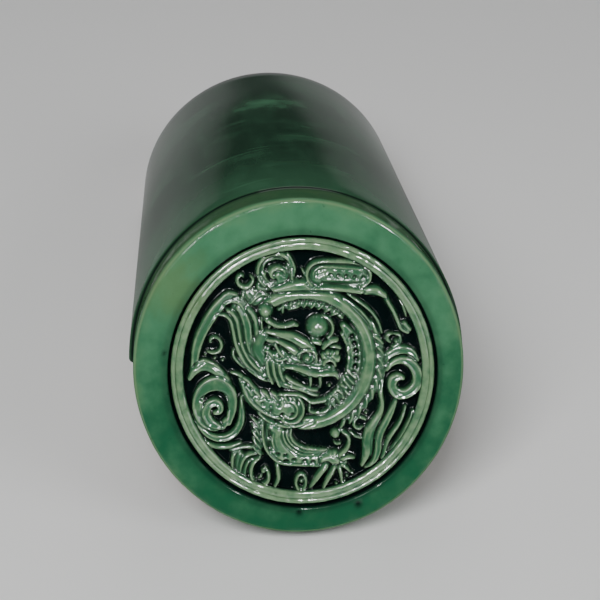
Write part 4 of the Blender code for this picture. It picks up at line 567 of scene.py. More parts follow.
        c.ridge([(-8.6, -3.6), (-5.4, -6.2), (-1, -8.6), (3, -9.8), (7, -10.2)], [1.2, 1.5, 1.3, 1.2, 0.8],
                4.3, moat=0.5)
        c.ridge([(-10, -6.8), (-5, -8.6), (0, -10.4), (4.6, -12.4), (7.6, -13)], [0.8, 1.2, 1.2, 1.0, 0.6],
                4.0, moat=0.4)
        c.band([(-12.4, -12.6), (-7, -12.4), (-2.4, -12.6), (0.8, -14.2), (3.8, -16.2), (7.8, -15.8),
                (11.8, -14.8), (14.8, -12.2), (17.2, -9.6)], [0.6, 0.9, 1.0, 1.0, 1.1, 1.3, 1.5, 1.3, 0.8],
               4.2, moat=0.5, crown=Crown.ROUND)
        c.ridge([(3.2, -18), (3.2, -21), (7, -21.8), (11, -21), (14.2, -18)], [0.6, 1.0, 0.9, 1.0, 0.7], 3.3)
        for whisker in range(4):
            c.ridge([(12.6 + 2.1 * whisker, -14.6 + 2.3 * whisker),
                     (15.4 + 2.2 * whisker, -18.4 + 2.9 * whisker)], [0.9, 0.6], 3.5, moat=0.6)
        c.band([(-9.4, 1.6), (-5, 1.2), (0, -0.4), (4, -2), (8, -2.4), (12, -1.9), (15.6, -2.2),
                (17.2, -4.6)], [1.1, 1.7, 2.1, 2.2, 2.1, 2.1, 1.8, 0.8], 4.7, moat=0.5, crown=Crown.ROUND)
        c.cut([(-8.6, -1.6), (-5.4, -2.9), (-2.2, -4.6), (1.2, -7.4)], 1.15, 4.6)
        c.cut([(-5, -2.8), (-2.6, -4)], 1.2, 3.0)
        for corner in ((11.4, -5.4), (14.2, -5.6), (13.2, -7.4)):
            c.cut([corner, (corner[0] + 0.8, corner[1])], 1.6, 4.4)
        c.cut([(12.6, -9.4), (11, -11.6), (9.4, -12.4)], 1.1, 4.2)
        c.ball((13, -8.3), 1.0, 3.2)
        for tooth, foot in ((3.6, -8.6), (8.4, -9.2)):
            c.ridge([(tooth - 0.3, -4), (tooth, -6.4), (tooth - 0.2, foot)], [1.1, 0.9, 0.35], 4.8, moat=0.5)
        c.cut([(5.6, -5.4), (5.8, -7.6)], 0.9, 3.6)
        c.cut([(-3.6, 3.4), (0.6, 2), (5, 1.4), (10, 1.4), (16, 1.2)], 0.5, 1.6)
        c.knob((2.2, 5.8), 3.8, 4.6)
        c.cut(arc((1.9, 5.8), (2.9, 2.8), 30, 330), 0.45, 1.8)
        c.ball((1.7, 5.9), 1.9, 5.0)
        c.ridge([(-3.4, 7.4), (-0.6, 9.6), (3.4, 9.8), (5.8, 8.2), (6.2, 5.6), (5.9, 3.4)],
                [0.6, 1.0, 1.1, 1.0, 0.9, 0.5], 5.0, moat=0.5)
        c.cut([(8, 10.4), (8, 6.6), (7.8, 3.4)], 0.7, 2.6)
        c.band([(10.6, 6.8), (14, 6.4), (16.6, 5.4)], [2.4, 3.4, 2.2], 4.0, moat=0.5)
        c.ridge([(9.8, 2.4), (11, 4.3), (13.2, 5.1), (15.2, 3.6), (16, 1.6)], [0.7, 1.1, 1.1, 0.9, 0.6], 5.0,
                moat=0.5)
        c.cut([(12.4, 3.2), (14, 2.6)], 0.8, 3.2)
        c.ball((11.8, 8.7), 1.7, 4.9)
        c.ball((16.6, 8.4), 1.5, 4.6)
        c.band([(9.4, 10.6), (11.2, 12.6), (13.8, 14.6), (16.6, 14.8)], [1.0, 1.7, 1.9, 1.1], 4.8, moat=0.5,
               crown=Crown.ROUND)
        c.ridge([(13.2, 11.4), (16, 11.6), (18.6, 10.4)], [0.7, 1.1, 0.6], 4.2, moat=0.5)
        c.band([(-20.2, 30), (-19.4, 26.6), (-17.4, 23.6), (-13.4, 21.8), (-9, 21.6), (-5.4, 22.5),
                (-3, 21.6)], [2.6, 2.2, 1.8, 1.4, 1.2, 1.3, 0.6], 4.5, crown=Crown.ROUND)
        c.ball((-19.2, 29.2), 4.2, 5.0)
        c.ball((-17.4, 21.2), 1.2, 3.9)
        c.band([(5, 17), (5.6, 14.4), (8, 13)], [2.0, 2.2, 1.4], 3.6, moat=0.4)
        c.ball((6.8, 21), 6.4, 4.9)
        c.band(arc((8, 20.6), (6.4, 6.2), 80, -58), [0.5, 1.1, 1.0, 0.5], 4.5, moat=0.6, crown=Crown.ROUND)
        c.cut([(9.6, 15), (11.2, 14.6)], 0.9, 2.8)

    def carve(self) -> Carving:
        """Draws every part, the ones that lie over the others last."""
        for draw in (self.left_clouds, self.lower_clouds, self.right_clouds, self.upper_clouds, self.mane,
                     self.coil, self.hind_leg, self.foreleg, self.head):
            draw()
        return self.carving


class Patchwork:
    """Gathers grids of points, and the faces between them, into one closed mesh.

    The points are given as they lie before the disc is leaned back, and are leaned as they come in.
    """

    def __init__(self, leaned: Callable) -> None:
        """Starts with no points and no faces.

        Args:
            leaned: What leans the points back.
        """
        self.leaned = leaned
        self.points: list = []
        self.marks: list = []
        self.faces: list = []
        self.plates: list = []
        self.count = 0

    def add(self, points: np.ndarray, marks: np.ndarray | None = None) -> np.ndarray:
        """Takes in a grid of points.

        Args:
            points: The points, XYZ along the last axis.
            marks: The masks of each point (relief, hollow, crest), zero where none are given.

        Returns:
            The points' numbers, in the grid's shape.
        """
        shape = points.shape[:-1]
        size = int(np.prod(shape))
        self.points.append(points.reshape(-1, 3))
        self.marks.append(np.zeros((size, 3)) if marks is None else marks.reshape(-1, 3))
        numbers = np.arange(self.count, self.count + size).reshape(shape)
        self.count += size
        return numbers

    def weave(self, grid: np.ndarray, closed: bool = False) -> None:
        """Spans quads between the rows of a grid of numbers, round the last column too if it is closed."""
        if closed:
            grid = np.concatenate([grid, grid[:, :1]], axis=1)
        quads = [grid[:-1, :-1], grid[1:, :-1], grid[1:, 1:], grid[:-1, 1:]]
        self.faces.append(np.stack(quads, axis=-1).reshape(-1, 4))

    def narrow(self, fine: np.ndarray, coarse: np.ndarray) -> None:
        """Joins a ring to one of half as many points, with three triangles at each coarse point."""
        even, odd, after = fine[0::2], fine[1::2], np.roll(fine[0::2], -1)
        ahead = np.roll(coarse, -1)
        for corners in ((even, coarse, odd), (coarse, ahead, odd), (odd, ahead, after)):
            self.faces.append(np.stack(corners, axis=-1))

    def close(self, ring: np.ndarray, pole: int) -> None:
        """Closes a ring with triangles to one point."""
        self.faces.append(np.stack([ring, np.full_like(ring, pole), np.roll(ring, -1)], axis=-1))

    def plate(self, loop: np.ndarray) -> None:
        """Closes a flat outline with one face."""
        self.plates.append(loop.tolist())

    def mesh(self, name: str, carry: Matrix, bare: Callable) -> bpy.types.Mesh:
        """Makes the mesh, its points leaned back and carried into the row frame.

        Args:
            name: The mesh's name.
            carry: The tile's own frame, as seen from the row frame.
            bare: What tells how far past the glaze's end each point lies.

        Returns:
            The mesh, with its points' own places and masks as attributes.
        """
        own = np.concatenate(self.points)
        turn = np.array(carry.to_3x3())
        laid = self.leaned(own) @ turn.T + np.array(carry.translation)
        laid[:, 2] -= laid[:, 2].min()
        faces = [face for block in self.faces for face in block.tolist()]
        mesh = bpy.data.meshes.new(name)
        mesh.from_pydata(laid.tolist(), [], faces + self.plates)
        smooth = np.ones(len(mesh.polygons), bool)
        smooth[len(faces):] = False
        mesh.polygons.foreach_set("use_smooth", smooth)
        place = mesh.attributes.new("own_place", "FLOAT_VECTOR", "POINT")
        place.data.foreach_set("vector", own.astype(np.float32).ravel())
        marks = np.concatenate(self.marks)
        layers = {"relief": marks[:, 0], "hollow": marks[:, 1], "crest": marks[:, 2], "bare": bare(own)}
        for mark, values in layers.items():
            layer = mesh.attributes.new(mark, "FLOAT", "POINT")
            layer.data.foreach_set("value", values.astype(np.float32))
        mesh.validate()
        return mesh


def rounded(corners: list, steps: int = 4) -> np.ndarray:
    """Follows an outline whose corners are rounded by arcs.

    Each arc is swept about the point on the corner's bisector that lies a radius from both sides.

    Args:
        corners: The corners as (radius from the axis, distance back, rounding radius).
        steps: How many spans each arc has.

    Returns:
        The outline's points as (radius, distance back).
    """
    spots = np.array([corner[:2] for corner in corners], float)
    line = [spots[:1]]
    for before, here, after, (_, _, size) in zip(spots, spots[1:], spots[2:], corners[1:-1]):
        a = (before - here) / np.linalg.norm(before - here)
        b = (after - here) / np.linalg.norm(after - here)
        half = math.acos(float(np.clip(a @ b, -1, 1))) / 2
        middle = here + (a + b) / np.linalg.norm(a + b) * size / math.sin(half)
        start, end = here + a * size / math.tan(half), here + b * size / math.tan(half)
        t = np.linspace(0, 1, steps + 1)[:, None]
        chord = (start - middle) * (1 - t) + (end - middle) * t
        line.append(middle + chord / np.linalg.norm(chord, axis=1, keepdims=True) * size)
    line.append(spots[-1:])
    line = np.concatenate(line)
    apart = np.linalg.norm(np.diff(line, axis=0), axis=1) > 1e-7
    return line[np.concatenate([[True], apart])]


def stepped(value: np.ndarray, low: float, high: float) -> np.ndarray:
    """Rises smoothly from 0 at the low value to 1 at the high one, as three squares less two cubes."""
    share = np.clip((value - low) / (high - low), 0, 1)
    return share * share * (3 - 2 * share)


def filled(line: np.ndarray, step: float) -> np.ndarray:
    """Adds points to an outline so that no span is longer than the step."""
    counts = np.maximum(1, np.ceil(np.linalg.norm(np.diff(line, axis=0), axis=1) / step)).astype(int)
    spans = [np.linspace(a, b, count + 1)[:-1] for a, b, count in zip(line, line[1:], counts)]
    return np.concatenate([*spans, line[-1:]])


@dataclass
class Barrel:
    """The half-round barrel and its tongue, a section spun half round the axis."""

    radius: float
    front: float
    wall: float = 0.0130
    length: float = 0.2360
    edge_round: float = 0.0014
    bed_round: float = 0.0012
    tongue_length: float = 0.0240
    tongue_step: float = 0.0060
    tongue_wall: float = 0.0085
    tongue_run_in: float = 0.0120
    corner_round: float = 0.0008
    run_in_round: float = 0.0050
    fillet: float = 0.0080
    station: float = 0.0080
    unevenness: float = 0.00022
    dents: tuple = (0.060, 3)
    dents_fade: float = 0.0040
    bed_columns: int = 4

    @property
    def shoulder(self) -> float:
        """How far back the shoulder is."""
        return self.front + self.length

    @property
    def end(self) -> float:
        """How far back the tongue ends."""
        return self.shoulder + self.tongue_length

    @property
    def tongue_radius(self) -> float:
        """The tongue's outer radius."""
        return self.radius - self.tongue_step

    @property
    def foot(self) -> float:
        """The radius at which the inner fillet meets the disc's back."""
        return self.radius - self.wall - self.fillet

    def section(self, disc_back: float) -> np.ndarray:
        """Follows the section from the outer front, over the tongue's end, to the fillet's foot.

        Args:
            disc_back: How far back the disc's back face is.

        Returns:
            The section's points as (radius, distance back).
        """
        inner = self.radius - self.wall
        tongue_inner = self.tongue_radius - self.tongue_wall
        corners = [(self.radius, self.front + self.edge_round, 0),
                   (self.radius, self.shoulder, self.edge_round),
                   (self.tongue_radius, self.shoulder, self.corner_round),
                   (self.tongue_radius, self.end, self.edge_round), (tongue_inner, self.end, self.edge_round),
                   (tongue_inner, self.shoulder, self.run_in_round),
                   (inner, self.shoulder - self.tongue_run_in, self.run_in_round),
                   (inner, disc_back, self.fillet), (self.foot, disc_back, 0)]
        return filled(rounded(corners), self.station)

    def angles(self, radius: np.ndarray, columns: int) -> np.ndarray:
        """Spreads the columns over the half round, closer where the bed edges are rounded.

        Args:
            radius: The radius of each row.
            columns: How many spans lie between the two bed edges.

        Returns:
            The angle of each point, rows by columns, from 0 at the right bed edge to half a turn.
        """
        turn = np.linspace(0, np.pi / 2, self.bed_columns + 1)
        low = np.arcsin(self.bed_round * (1 - np.cos(turn)) / radius[:, None])
        share = np.linspace(0, 1, columns + 1 - 2 * self.bed_columns)[1:-1]
        middle = low[:, -1:] + (np.pi - 2 * low[:, -1:]) * share
        return np.concatenate([low, middle, np.pi - low[:, ::-1]], axis=1)

    def surface(self, disc_back: float, columns: int) -> np.ndarray:
        """Spins the section half round, with the bed edges rounded and the sides a little uneven.

        A point stands at radius times (cosine, sine) of its column's angle. Near the bed it is drawn
        in along the section's normal, by the rounding less the root of its square less the square of
        the rounding less the height over the bed.

        Args:
            disc_back: How far back the disc's back face is.
            columns: How many spans lie between the two bed edges.

        Returns:
            The points, rows by columns by XYZ.
        """
        line = self.section(disc_back)
        run = np.gradient(line, axis=0)
        run /= np.linalg.norm(run, axis=1, keepdims=True)
        normal = np.stack([run[:, 1], -run[:, 0]], axis=1)
        angle = self.angles(line[:, 0], columns)
        z = line[:, :1] * np.sin(angle)
        low = self.bed_round - np.minimum(z, self.bed_round)
        inset = self.bed_round - np.sqrt(self.bed_round**2 - low**2)
        to_foot = np.clip((line[:, :1] - self.foot) / self.fillet, 0, 1)
        inset = inset * np.where(line[:, 1:] > self.end / 2, 1, to_foot)
        back = np.repeat(line[:, 1:], angle.shape[1], axis=1)
        outline = np.stack([line[:, :1] * np.cos(angle), back, z], axis=-1)
        dent = self.unevenness * (0.5 + 0.5 * waves(outline, *self.dents)) * np.sin(angle)**0.5
        dent *= np.clip((self.end - line[:, 1:]) / self.dents_fade, 0, 1)
        dent *= line[:, :1] > self.foot + self.fillet
        draw = inset + dent
        return outline - np.stack([normal[:, :1] * draw * np.cos(angle), normal[:, 1:] * draw,
                                   normal[:, :1] * dent * np.sin(angle)], axis=-1)


@dataclass
class EndDisc:
    """The round end disc: the sunk field, the moulded ring round it, the flat rim and the sides."""

    raise_: float = 0.0012
    thickness: float = 0.0160
    seat: float = 0.0040
    step: float = 0.0020
    edge_round: float = 0.0022
    lean: float = math.radians(11.5)
    rim_width: float = 0.0118
    aside: float = 0.0014
    drop: float = 0.0018
    groove_width: float = 0.0013
    groove_depth: float = 0.0032
    outer_bead: float = 0.0019
    inner_bead: float = 0.0031
    outer_crest: float = 0.0007
    inner_crest: float = 0.0009
    valley: float = 0.0018
    field_depth: float = 0.0042
    relief_height: float = 0.0046
    drawing_units: float = 67.2
    drawing_turn: float = math.radians(2.0)
    drawing_aside: float = -0.4
    drawing_rise: float = -0.8
    drawing_height: float = 5.0
    bead_steps: int = 10
    bead_fullness: float = 0.7
    ring_crest: float = 0.8
    # painted shade over pooled glaze: the depths over which the valley between the beads darkens
    valley_pool_and_shade: tuple = (0.0014, 0.0026)
    lip_start: float = 0.15
    lip_slope: float = 0.6
    lip_gap: float = 0.0001
    # painted shade over pooled glaze: the depths over which the groove's lip darkens onto the rim
    lip_pool_and_shade: tuple = (-0.0012, 0.0016)
    softness: float = 2.3
    surroundings: float = 6.0
    ground_edge: tuple = (0.15, 1.15)
    groove_edge: tuple = (0.05, 0.90)
    groove_pool_and_shade: float = 0.62
    crest_edge: tuple = (0.0, 0.8)
    unevenness: float = 0.00020
    dents: tuple = (0.030, 11)
    side_wear: float = 0.00012
    side_dents: tuple = (0.020, 17)
    ripple: float = 0.00013
    ripples: tuple = (0.0042, 21)
    nicks: tuple = ((-0.0016, -0.0526), (0.0208, -0.0504), (-0.0494, 0.0084))
    nick_size: float = 0.0014
    nick_depth: float = 0.0007
    field_rings: int = 110
    lip_rows: int = 6

    @property
    def columns(self) -> int:
        """How many columns run out from the field's edge, half as many as its outermost ring has."""
        return 4 * self.field_rings

    @property
    def back(self) -> float:
        """How far back the disc's back face is."""
        return self.thickness + self.seat

    def radius(self, barrel: Barrel) -> float:
        """The disc's radius, a step under the barrel's."""
        return barrel.radius - self.step

    def medallion(self, barrel: Barrel) -> float:
        """The medallion's radius, to the rim's inner edge."""
        return self.radius(barrel) - self.rim_width

    def field_radius(self, barrel: Barrel) -> float:
        """The radius of the carved field inside the ring."""
        return self.medallion(barrel) - self.groove_width / 2 - self.outer_bead - self.inner_bead

    def bead(self, start: float, width: float, crest: float, feet: tuple) -> np.ndarray:
        """Follows one bead's section, from its inner foot over the crest to its outer foot.

        A place is the bead's middle plus its half-width times a cosine, and its depth is the foot's
        less the rise times a power of a sine.

        Args:
            start: The radius at which the bead starts.
            width: How wide it is.
            crest: The depth of its crest under the face.
            feet: The depths of its inner and its outer foot.

        Returns:
            The section's points as (radius, depth under the face).
        """
        turn = np.linspace(np.pi, 0, self.bead_steps + 1)
        foot = np.where(turn > np.pi / 2, *feet)
        lift = np.sin(turn)**self.bead_fullness
        return np.stack([start + width / 2 + width / 2 * np.cos(turn), foot + (crest - foot) * lift], axis=1)

    def ring_line(self, barrel: Barrel) -> np.ndarray:
        """Follows the ring's section from the field's edge, over two beads and a groove, to the rim.

        Args:
            barrel: The barrel, whose radius the disc follows.

        Returns:
            The section's points as (radius, depth under the face).
        """
        inside = self.field_radius(barrel)
        inner = self.bead(inside, self.inner_bead, self.inner_crest, (self.field_depth, self.valley))
        outer = self.bead(inside + self.inner_bead, self.outer_bead, self.outer_crest,
                          (self.valley, self.groove_depth))
        turn = np.linspace(self.lip_start, 1, self.lip_rows) * np.pi / 2
        across = self.groove_width * (1 - np.cos(turn)) * self.lip_slope + self.lip_gap
        lip = np.stack([self.medallion(barrel) + across, self.groove_depth * (1 - np.sin(turn))], axis=1)
        return np.concatenate([inner, outer[1:], lip])

    def on_medallion(self, radius: np.ndarray, angle: np.ndarray, depth: np.ndarray) -> np.ndarray:
        """Places points round the medallion's middle: radius times (cosine, sine), depth back."""
        radius, angle, depth = np.broadcast_arrays(radius, angle, depth)
        return np.stack([self.aside + radius * np.cos(angle), depth,
                         self.raise_ - self.drop + radius * np.sin(angle)], axis=-1)

    def on_disc(self, radius: np.ndarray, angle: np.ndarray, depth: np.ndarray) -> np.ndarray:
        """Places points on circles round the disc's middle, by their angle at the barrel's axis.

        The distance from the axis is the raise times the sine, plus the root of the radius squared
        less the square of the raise times the cosine.
        """
        radius, angle, depth = np.broadcast_arrays(radius, angle, depth)
        away = self.raise_ * np.sin(angle) + np.sqrt(radius**2 - (self.raise_ * np.cos(angle))**2)
        return np.stack([away * np.cos(angle), depth, away * np.sin(angle)], axis=-1)

    def field(self, barrel: Barrel, carving: Carving) -> tuple:
        """Maps a square grid onto the round field and lifts it by the carving.

        A point's ring is the greater of its two grid numbers. Its angle is an eighth of a turn times
        the smaller number over the greater, from the side of the square that it lies on. The drawing is
        turned a little, and its middle lies a little off the medallion's. The hollow mask, painted
        shade over pooled glaze, is one on the ground and in narrow grooves, the crest mask on what
        stands over its surroundings.

        Args:
            barrel: The barrel, whose radius the disc follows.
            carving: The finished carving.

        Returns:
            The points, and their three masks.
        """
        number = np.arange(-self.field_rings, self.field_rings + 1)
        i, j = np.meshgrid(number, number, indexing="ij")
        ring = np.maximum(np.abs(i), np.abs(j))
        sideways = np.abs(i) >= np.abs(j)
        turn = np.pi / 4 * np.where(sideways, j, i) / np.maximum(ring, 1)
        level = np.where(sideways, np.sign(i) * np.cos(turn), np.sin(turn))
        upright = np.where(sideways, np.sin(turn), np.sign(j) * np.cos(turn))
        unit = self.medallion(barrel) / self.drawing_units
        reach = self.field_radius(barrel) / unit
        x, z = level * ring / self.field_rings * reach, upright * ring / self.field_rings * reach
        u = x * math.cos(self.drawing_turn) - z * math.sin(self.drawing_turn) + self.drawing_aside
        v = x * math.sin(self.drawing_turn) + z * math.cos(self.drawing_turn) + self.drawing_rise
        soft = blurred(carving.height, self.softness)
        around = carving.at(blurred(soft, self.surroundings), u, v)
        carved = carving.at(soft, u, v)
        # painted shade over pooled glaze: the hollow mask is dark on the ground and in the grooves between
        # forms
        ground = 1 - stepped(carved, *self.ground_edge)
        hollow = np.maximum(ground, self.groove_pool_and_shade * stepped(around - carved, *self.groove_edge))
        crest = stepped(carved - around, *self.crest_edge)
        lift = carved * self.relief_height / self.drawing_height
        points = np.stack([self.aside + x * unit, self.field_depth - lift,
                           self.raise_ - self.drop + z * unit], axis=-1)
        return points, np.stack([carved / self.drawing_height, hollow, crest], axis=-1)


@dataclass
class EavesTile:
    """The whole tile, one fired piece: the carved disc and the barrel behind it."""

    barrel: Barrel
    disc: EndDisc
    carving: Carving
    rim_rows: int = 8
    round_rows: int = 6
    side_rows: int = 5
    lip_rows: int = 4
    back_rows: int = 6
    foot_rows: int = 4
    face_depth: float = 0.0010
    joint_swell: float = 0.0003
    joint_start: float = 0.0006
    joint_end: float = 0.0001
    edge_crest: tuple = (0.5, 1.0, 0.6)
    # painted shade over pooled glaze: how dark the rim's rows by the groove, the disc's last rows and the
    # barrel's first rows are
    foot_pool_and_shade: tuple = (0.30, 0.08)
    joint_pool_and_shade: tuple = (0.5, 1.0)
    seat_pool_and_shade: tuple = (0.8, 0.3)
    glaze_past_disc: float = 0.0005
    bare_before_back: float = 0.0004
    well_on_glaze: float = -0.0100

    def leaned(self, points: np.ndarray) -> np.ndarray:
        """Slides the tile's front back by its height times the lean's tangent, fading along the barrel."""
        middle = self.barrel.end / 2
        fade = np.clip((middle - points[..., 1]) / (middle - 2 * self.disc.back), 0, 1)
        slid = points.copy()
        slid[..., 1] += points[..., 2] * math.tan(self.disc.lean) * fade
        return slid

    def past_glaze(self, own: np.ndarray) -> np.ndarray:
        """Tells how far past the glaze's end each point lies, in metres, below zero on the glaze.

        The glaze covers the disc's face and sides and the barrel's outside up to the shoulder. Past
        it is the depth under the outer skin or the distance behind the shoulder, the greater one.

        Args:
            own: The points in the tile's own frame.

        Returns:
            The distance of each point.
        """
        x, y, z = own.T
        inward = self.barrel.radius - np.hypot(x, z)
        past = np.maximum(inward, y - self.barrel.shoulder)
        disc_end = np.where(z < 0, self.disc.back - self.bare_before_back,
                            self.disc.thickness + self.glaze_past_disc)
        return np.where(y < disc_end, self.well_on_glaze, past)

    def ring(self) -> tuple:
        """Lays the moulded ring from the field's edge to the rim.

        The relief mask is twice the crest's share, up to one, and the crest mask is its square. The
        hollow mask, painted shade over pooled glaze, grows with the depth.

        Returns:
            The rows of points and their masks.
        """
        disc = self.disc
        line = disc.ring_line(self.barrel)[1:]
        depth = line[:, 1]
        angle = np.arange(disc.columns) / disc.columns * 2 * np.pi
        points = disc.on_medallion(line[:, :1], angle[None], line[:, 1:])
        crest = disc.ring_crest * np.clip((disc.groove_depth - depth) / disc.groove_depth, 0, 1)
        # painted shade over pooled glaze: the valley and the groove by the rim are darkened by their depth
        marks = np.stack([np.clip(2 * crest, 0, 1), stepped(depth, *disc.valley_pool_and_shade), crest**2], axis=-1)
        marks[-disc.lip_rows:] = 0
        marks[-disc.lip_rows:, 1] = stepped(depth, *disc.lip_pool_and_shade)[-disc.lip_rows:]
        marks = np.repeat(marks[:, None], disc.columns, axis=1)
        points[..., 1] += disc.ripple * waves(points, *disc.ripples) * marks[..., 0]
        return points, marks

    def rim(self, last: np.ndarray, turned: np.ndarray) -> tuple:
        """Lays the flat rim, the disc's round front edge and its sides up to the barrel.

        Args:
            last: The medallion's outermost ring.
            turned: The columns' angles at the barrel's axis.

        Returns:
            The rows of points and their masks.
        """
        disc, radius = self.disc, self.disc.radius(self.barrel)
        flat = disc.on_disc(radius - disc.edge_round, turned, 0.0)
        share = np.linspace(0, 1, self.rim_rows + 1)[1:, None, None]
        turn = np.linspace(0, np.pi / 2, self.round_rows + 1)[1:, None]
        side = np.linspace(disc.edge_round, disc.thickness - self.joint_start, self.side_rows + 1)[1:, None]
        points = np.concatenate([
            last[None] + (flat - last)[None] * share,
            disc.on_disc(radius - disc.edge_round * (1 - np.sin(turn)), turned[None],
                         disc.edge_round * (1 - np.cos(turn))),
            disc.on_disc(radius, turned[None], side),
            disc.on_disc(radius + self.joint_swell, turned[None],
                         np.array([[disc.thickness - self.joint_end]]))])
        relief, hollow, crest = np.zeros((3, *points.shape[:2]))
        edge = self.rim_rows + 1
        crest[edge:edge + len(self.edge_crest)] = np.array(self.edge_crest)[:, None]
        # painted shade over pooled glaze: the rim darkens by the groove and in the crease against the barrel
        hollow[:len(self.foot_pool_and_shade)] = np.array(self.foot_pool_and_shade)[:, None]
        hollow[-len(self.joint_pool_and_shade):] = np.array(self.joint_pool_and_shade)[:, None]
        facing = points[..., 1] < self.face_depth
        points[..., 1] += disc.unevenness * (0.5 + 0.5 * waves(points, *disc.dents)) * facing
        for x, z in disc.nicks:
            away = (points[..., 0] - x)**2 + (points[..., 2] - z)**2
            near = np.exp(-away / disc.nick_size**2) * facing
            points[..., 1] += disc.nick_depth * near
            # painted shade: the nicks' dents are darkened
            hollow = np.maximum(hollow, near)
        worn = disc.side_wear * (0.5 + 0.5 * waves(points, *disc.side_dents))
        worn *= stepped(points[..., 1], 0.0, self.face_depth)
        worn *= 1 - stepped(points[..., 1], disc.thickness / 2, disc.thickness)
        points[..., ::2] *= (1 - worn / radius)[..., None]
        return points, np.stack([relief, hollow, crest], axis=-1)

    def over(self, upper: np.ndarray) -> tuple:
        """Lays the barrel's round front edge on the disc's back, and the barrel's skin behind it.

        Args:
            upper: The angles of the upper half's columns.

        Returns:
            The rows of points and their masks.
        """
        disc, barrel = self.disc, self.barrel
        seat = disc.on_disc(disc.radius(barrel) + self.joint_swell, upper, disc.thickness)
        skin = barrel.surface(disc.back, len(upper) - 1)
        turn = np.linspace(0, np.pi / 2, self.lip_rows + 1)[1:, None, None]
        lip = seat + (skin[0] - seat) * np.sin(turn)
        lip[..., 1] = disc.thickness + barrel.edge_round * (1 - np.cos(turn[..., 0]))
        points = np.concatenate([lip, skin[1:-1]])
        marks = np.zeros(points.shape)
        # painted shade over pooled glaze: the barrel's first rows darken in the crease against the disc
        marks[:len(self.seat_pool_and_shade), :, 1] = np.array(self.seat_pool_and_shade)[:, None]
        return points, marks

    def under(self, lower: np.ndarray, foot: np.ndarray) -> np.ndarray:
        """Rounds the lower half of the disc's back edge and goes in from it to the fillet's foot.

        Args:
            lower: The angles of the lower half's columns.
            foot: The lower half of the ring that the fillet's foot lies on.

        Returns:
            The rows of points.
        """
        disc = self.disc
        small = disc.edge_round / 2
        turn = np.linspace(0, np.pi / 2, self.foot_rows + 1)[:, None]
        edge = disc.on_disc(disc.radius(self.barrel) - small * (1 - np.cos(turn)), lower[None],
                            disc.back - small * (1 - np.sin(turn)))
        share = np.linspace(0, 1, self.foot_rows + 1)[1:-1, None, None]
        return np.concatenate([edge, edge[-1] + (foot - edge[-1]) * share])

    def build(self, carry: Matrix) -> bpy.types.Object:
        """Builds the tile's one closed mesh.

        The rows run out from the field, over the ring, the rim and the disc's side. There the upper
        half goes on over the barrel and its tongue and back along the inside, the lower half over the
        disc's back edge, and both meet in one ring on the disc's back.

        Args:
            carry: The tile's own frame, as seen from the row frame.

        Returns:
            The finished object.
        """
        disc, barrel, cloth = self.disc, self.barrel, Patchwork(self.leaned)
        half = disc.columns // 2
        grid = cloth.add(*disc.field(barrel, self.carving))
        cloth.weave(grid)
        edge = np.concatenate([grid[-1, :-1], grid[:0:-1, -1], grid[0, :0:-1], grid[:-1, 0]])

        upper = barrel.angles(np.array([barrel.radius]), half)[0]
        lower = np.arange(half + 1, disc.columns + 1) / disc.columns * 2 * np.pi
        turned = np.concatenate([upper, lower[:-1]])
        ring, ring_marks = self.ring()
        rim, rim_marks = self.rim(ring[-1], turned)
        rings = cloth.add(np.concatenate([ring, rim]), np.concatenate([ring_marks, rim_marks]))
        cloth.narrow(np.roll(edge, -disc.field_rings), rings[0])
        cloth.weave(rings, closed=True)
        over = cloth.add(*self.over(upper))

        foot = np.stack([barrel.foot * np.cos(turned), np.full_like(turned, disc.back),
                         barrel.foot * np.sin(turned)], axis=-1)
        share = np.linspace(1, 0, self.back_rows + 1)[:-1, None, None]
        inner = cloth.add(foot * (share * (1, 0, 1) + (0, 1, 0)))
        cloth.weave(inner, closed=True)
        pole = cloth.add(np.array([[0, disc.back, 0]]))
        cloth.close(inner[-1], int(pole[0]))
        under = cloth.add(self.under(np.append(upper[-1], lower), np.concatenate([foot[half:], foot[:1]])))

        first, last = np.append(rings[-1], rings[-1, 0]), np.append(inner[0], inner[0, 0])
        up = np.concatenate([first[None, :half + 1], over, last[None, :half + 1]])
        down = np.concatenate([first[None, half:], under, last[None, half:]])
        cloth.weave(up)
        cloth.weave(down)
        cloth.plate(np.concatenate([up[::-1, 0], down[1:-1, -1]]))
        cloth.plate(np.concatenate([up[:, -1], down[-2:0:-1, 0]]))
        mesh = cloth.mesh("green_glazed_eaves_tile", carry, self.past_glaze)
        tile = bpy.data.objects.new("green_glazed_eaves_tile", mesh)
        bpy.context.scene.collection.objects.link(tile)
        return tile


class Grain(Enum):
    """The noises in glaze and clay: how fine, how many finer ones within, and the factors for X, Y and Z."""

    CLOUD = (38.0, 3.0, None)
    PATCH = (130.0, 4.0, None)
    FLECK = (240.0, 3.0, None)
    SPECK = (420.0, 2.0, None)
    LUMP = (210.0, 1.0, None)
    STREAK = (130.0, 3.0, (1.0, 0.16, 1.0))
    SMEAR = (42.0, 5.0, (0.8, 1.0, 0.8))
    TURNING = (240.0, 2.0, (0.12, 1.0, 0.12))
    WORN = (170.0, 3.0, None)
    GLAZE_END = (70.0, 3.0, None)
    CLAY_CLOUD = (26.0, 4.0, None)
    CLAY_GRAIN = (900.0, 3.0, None)


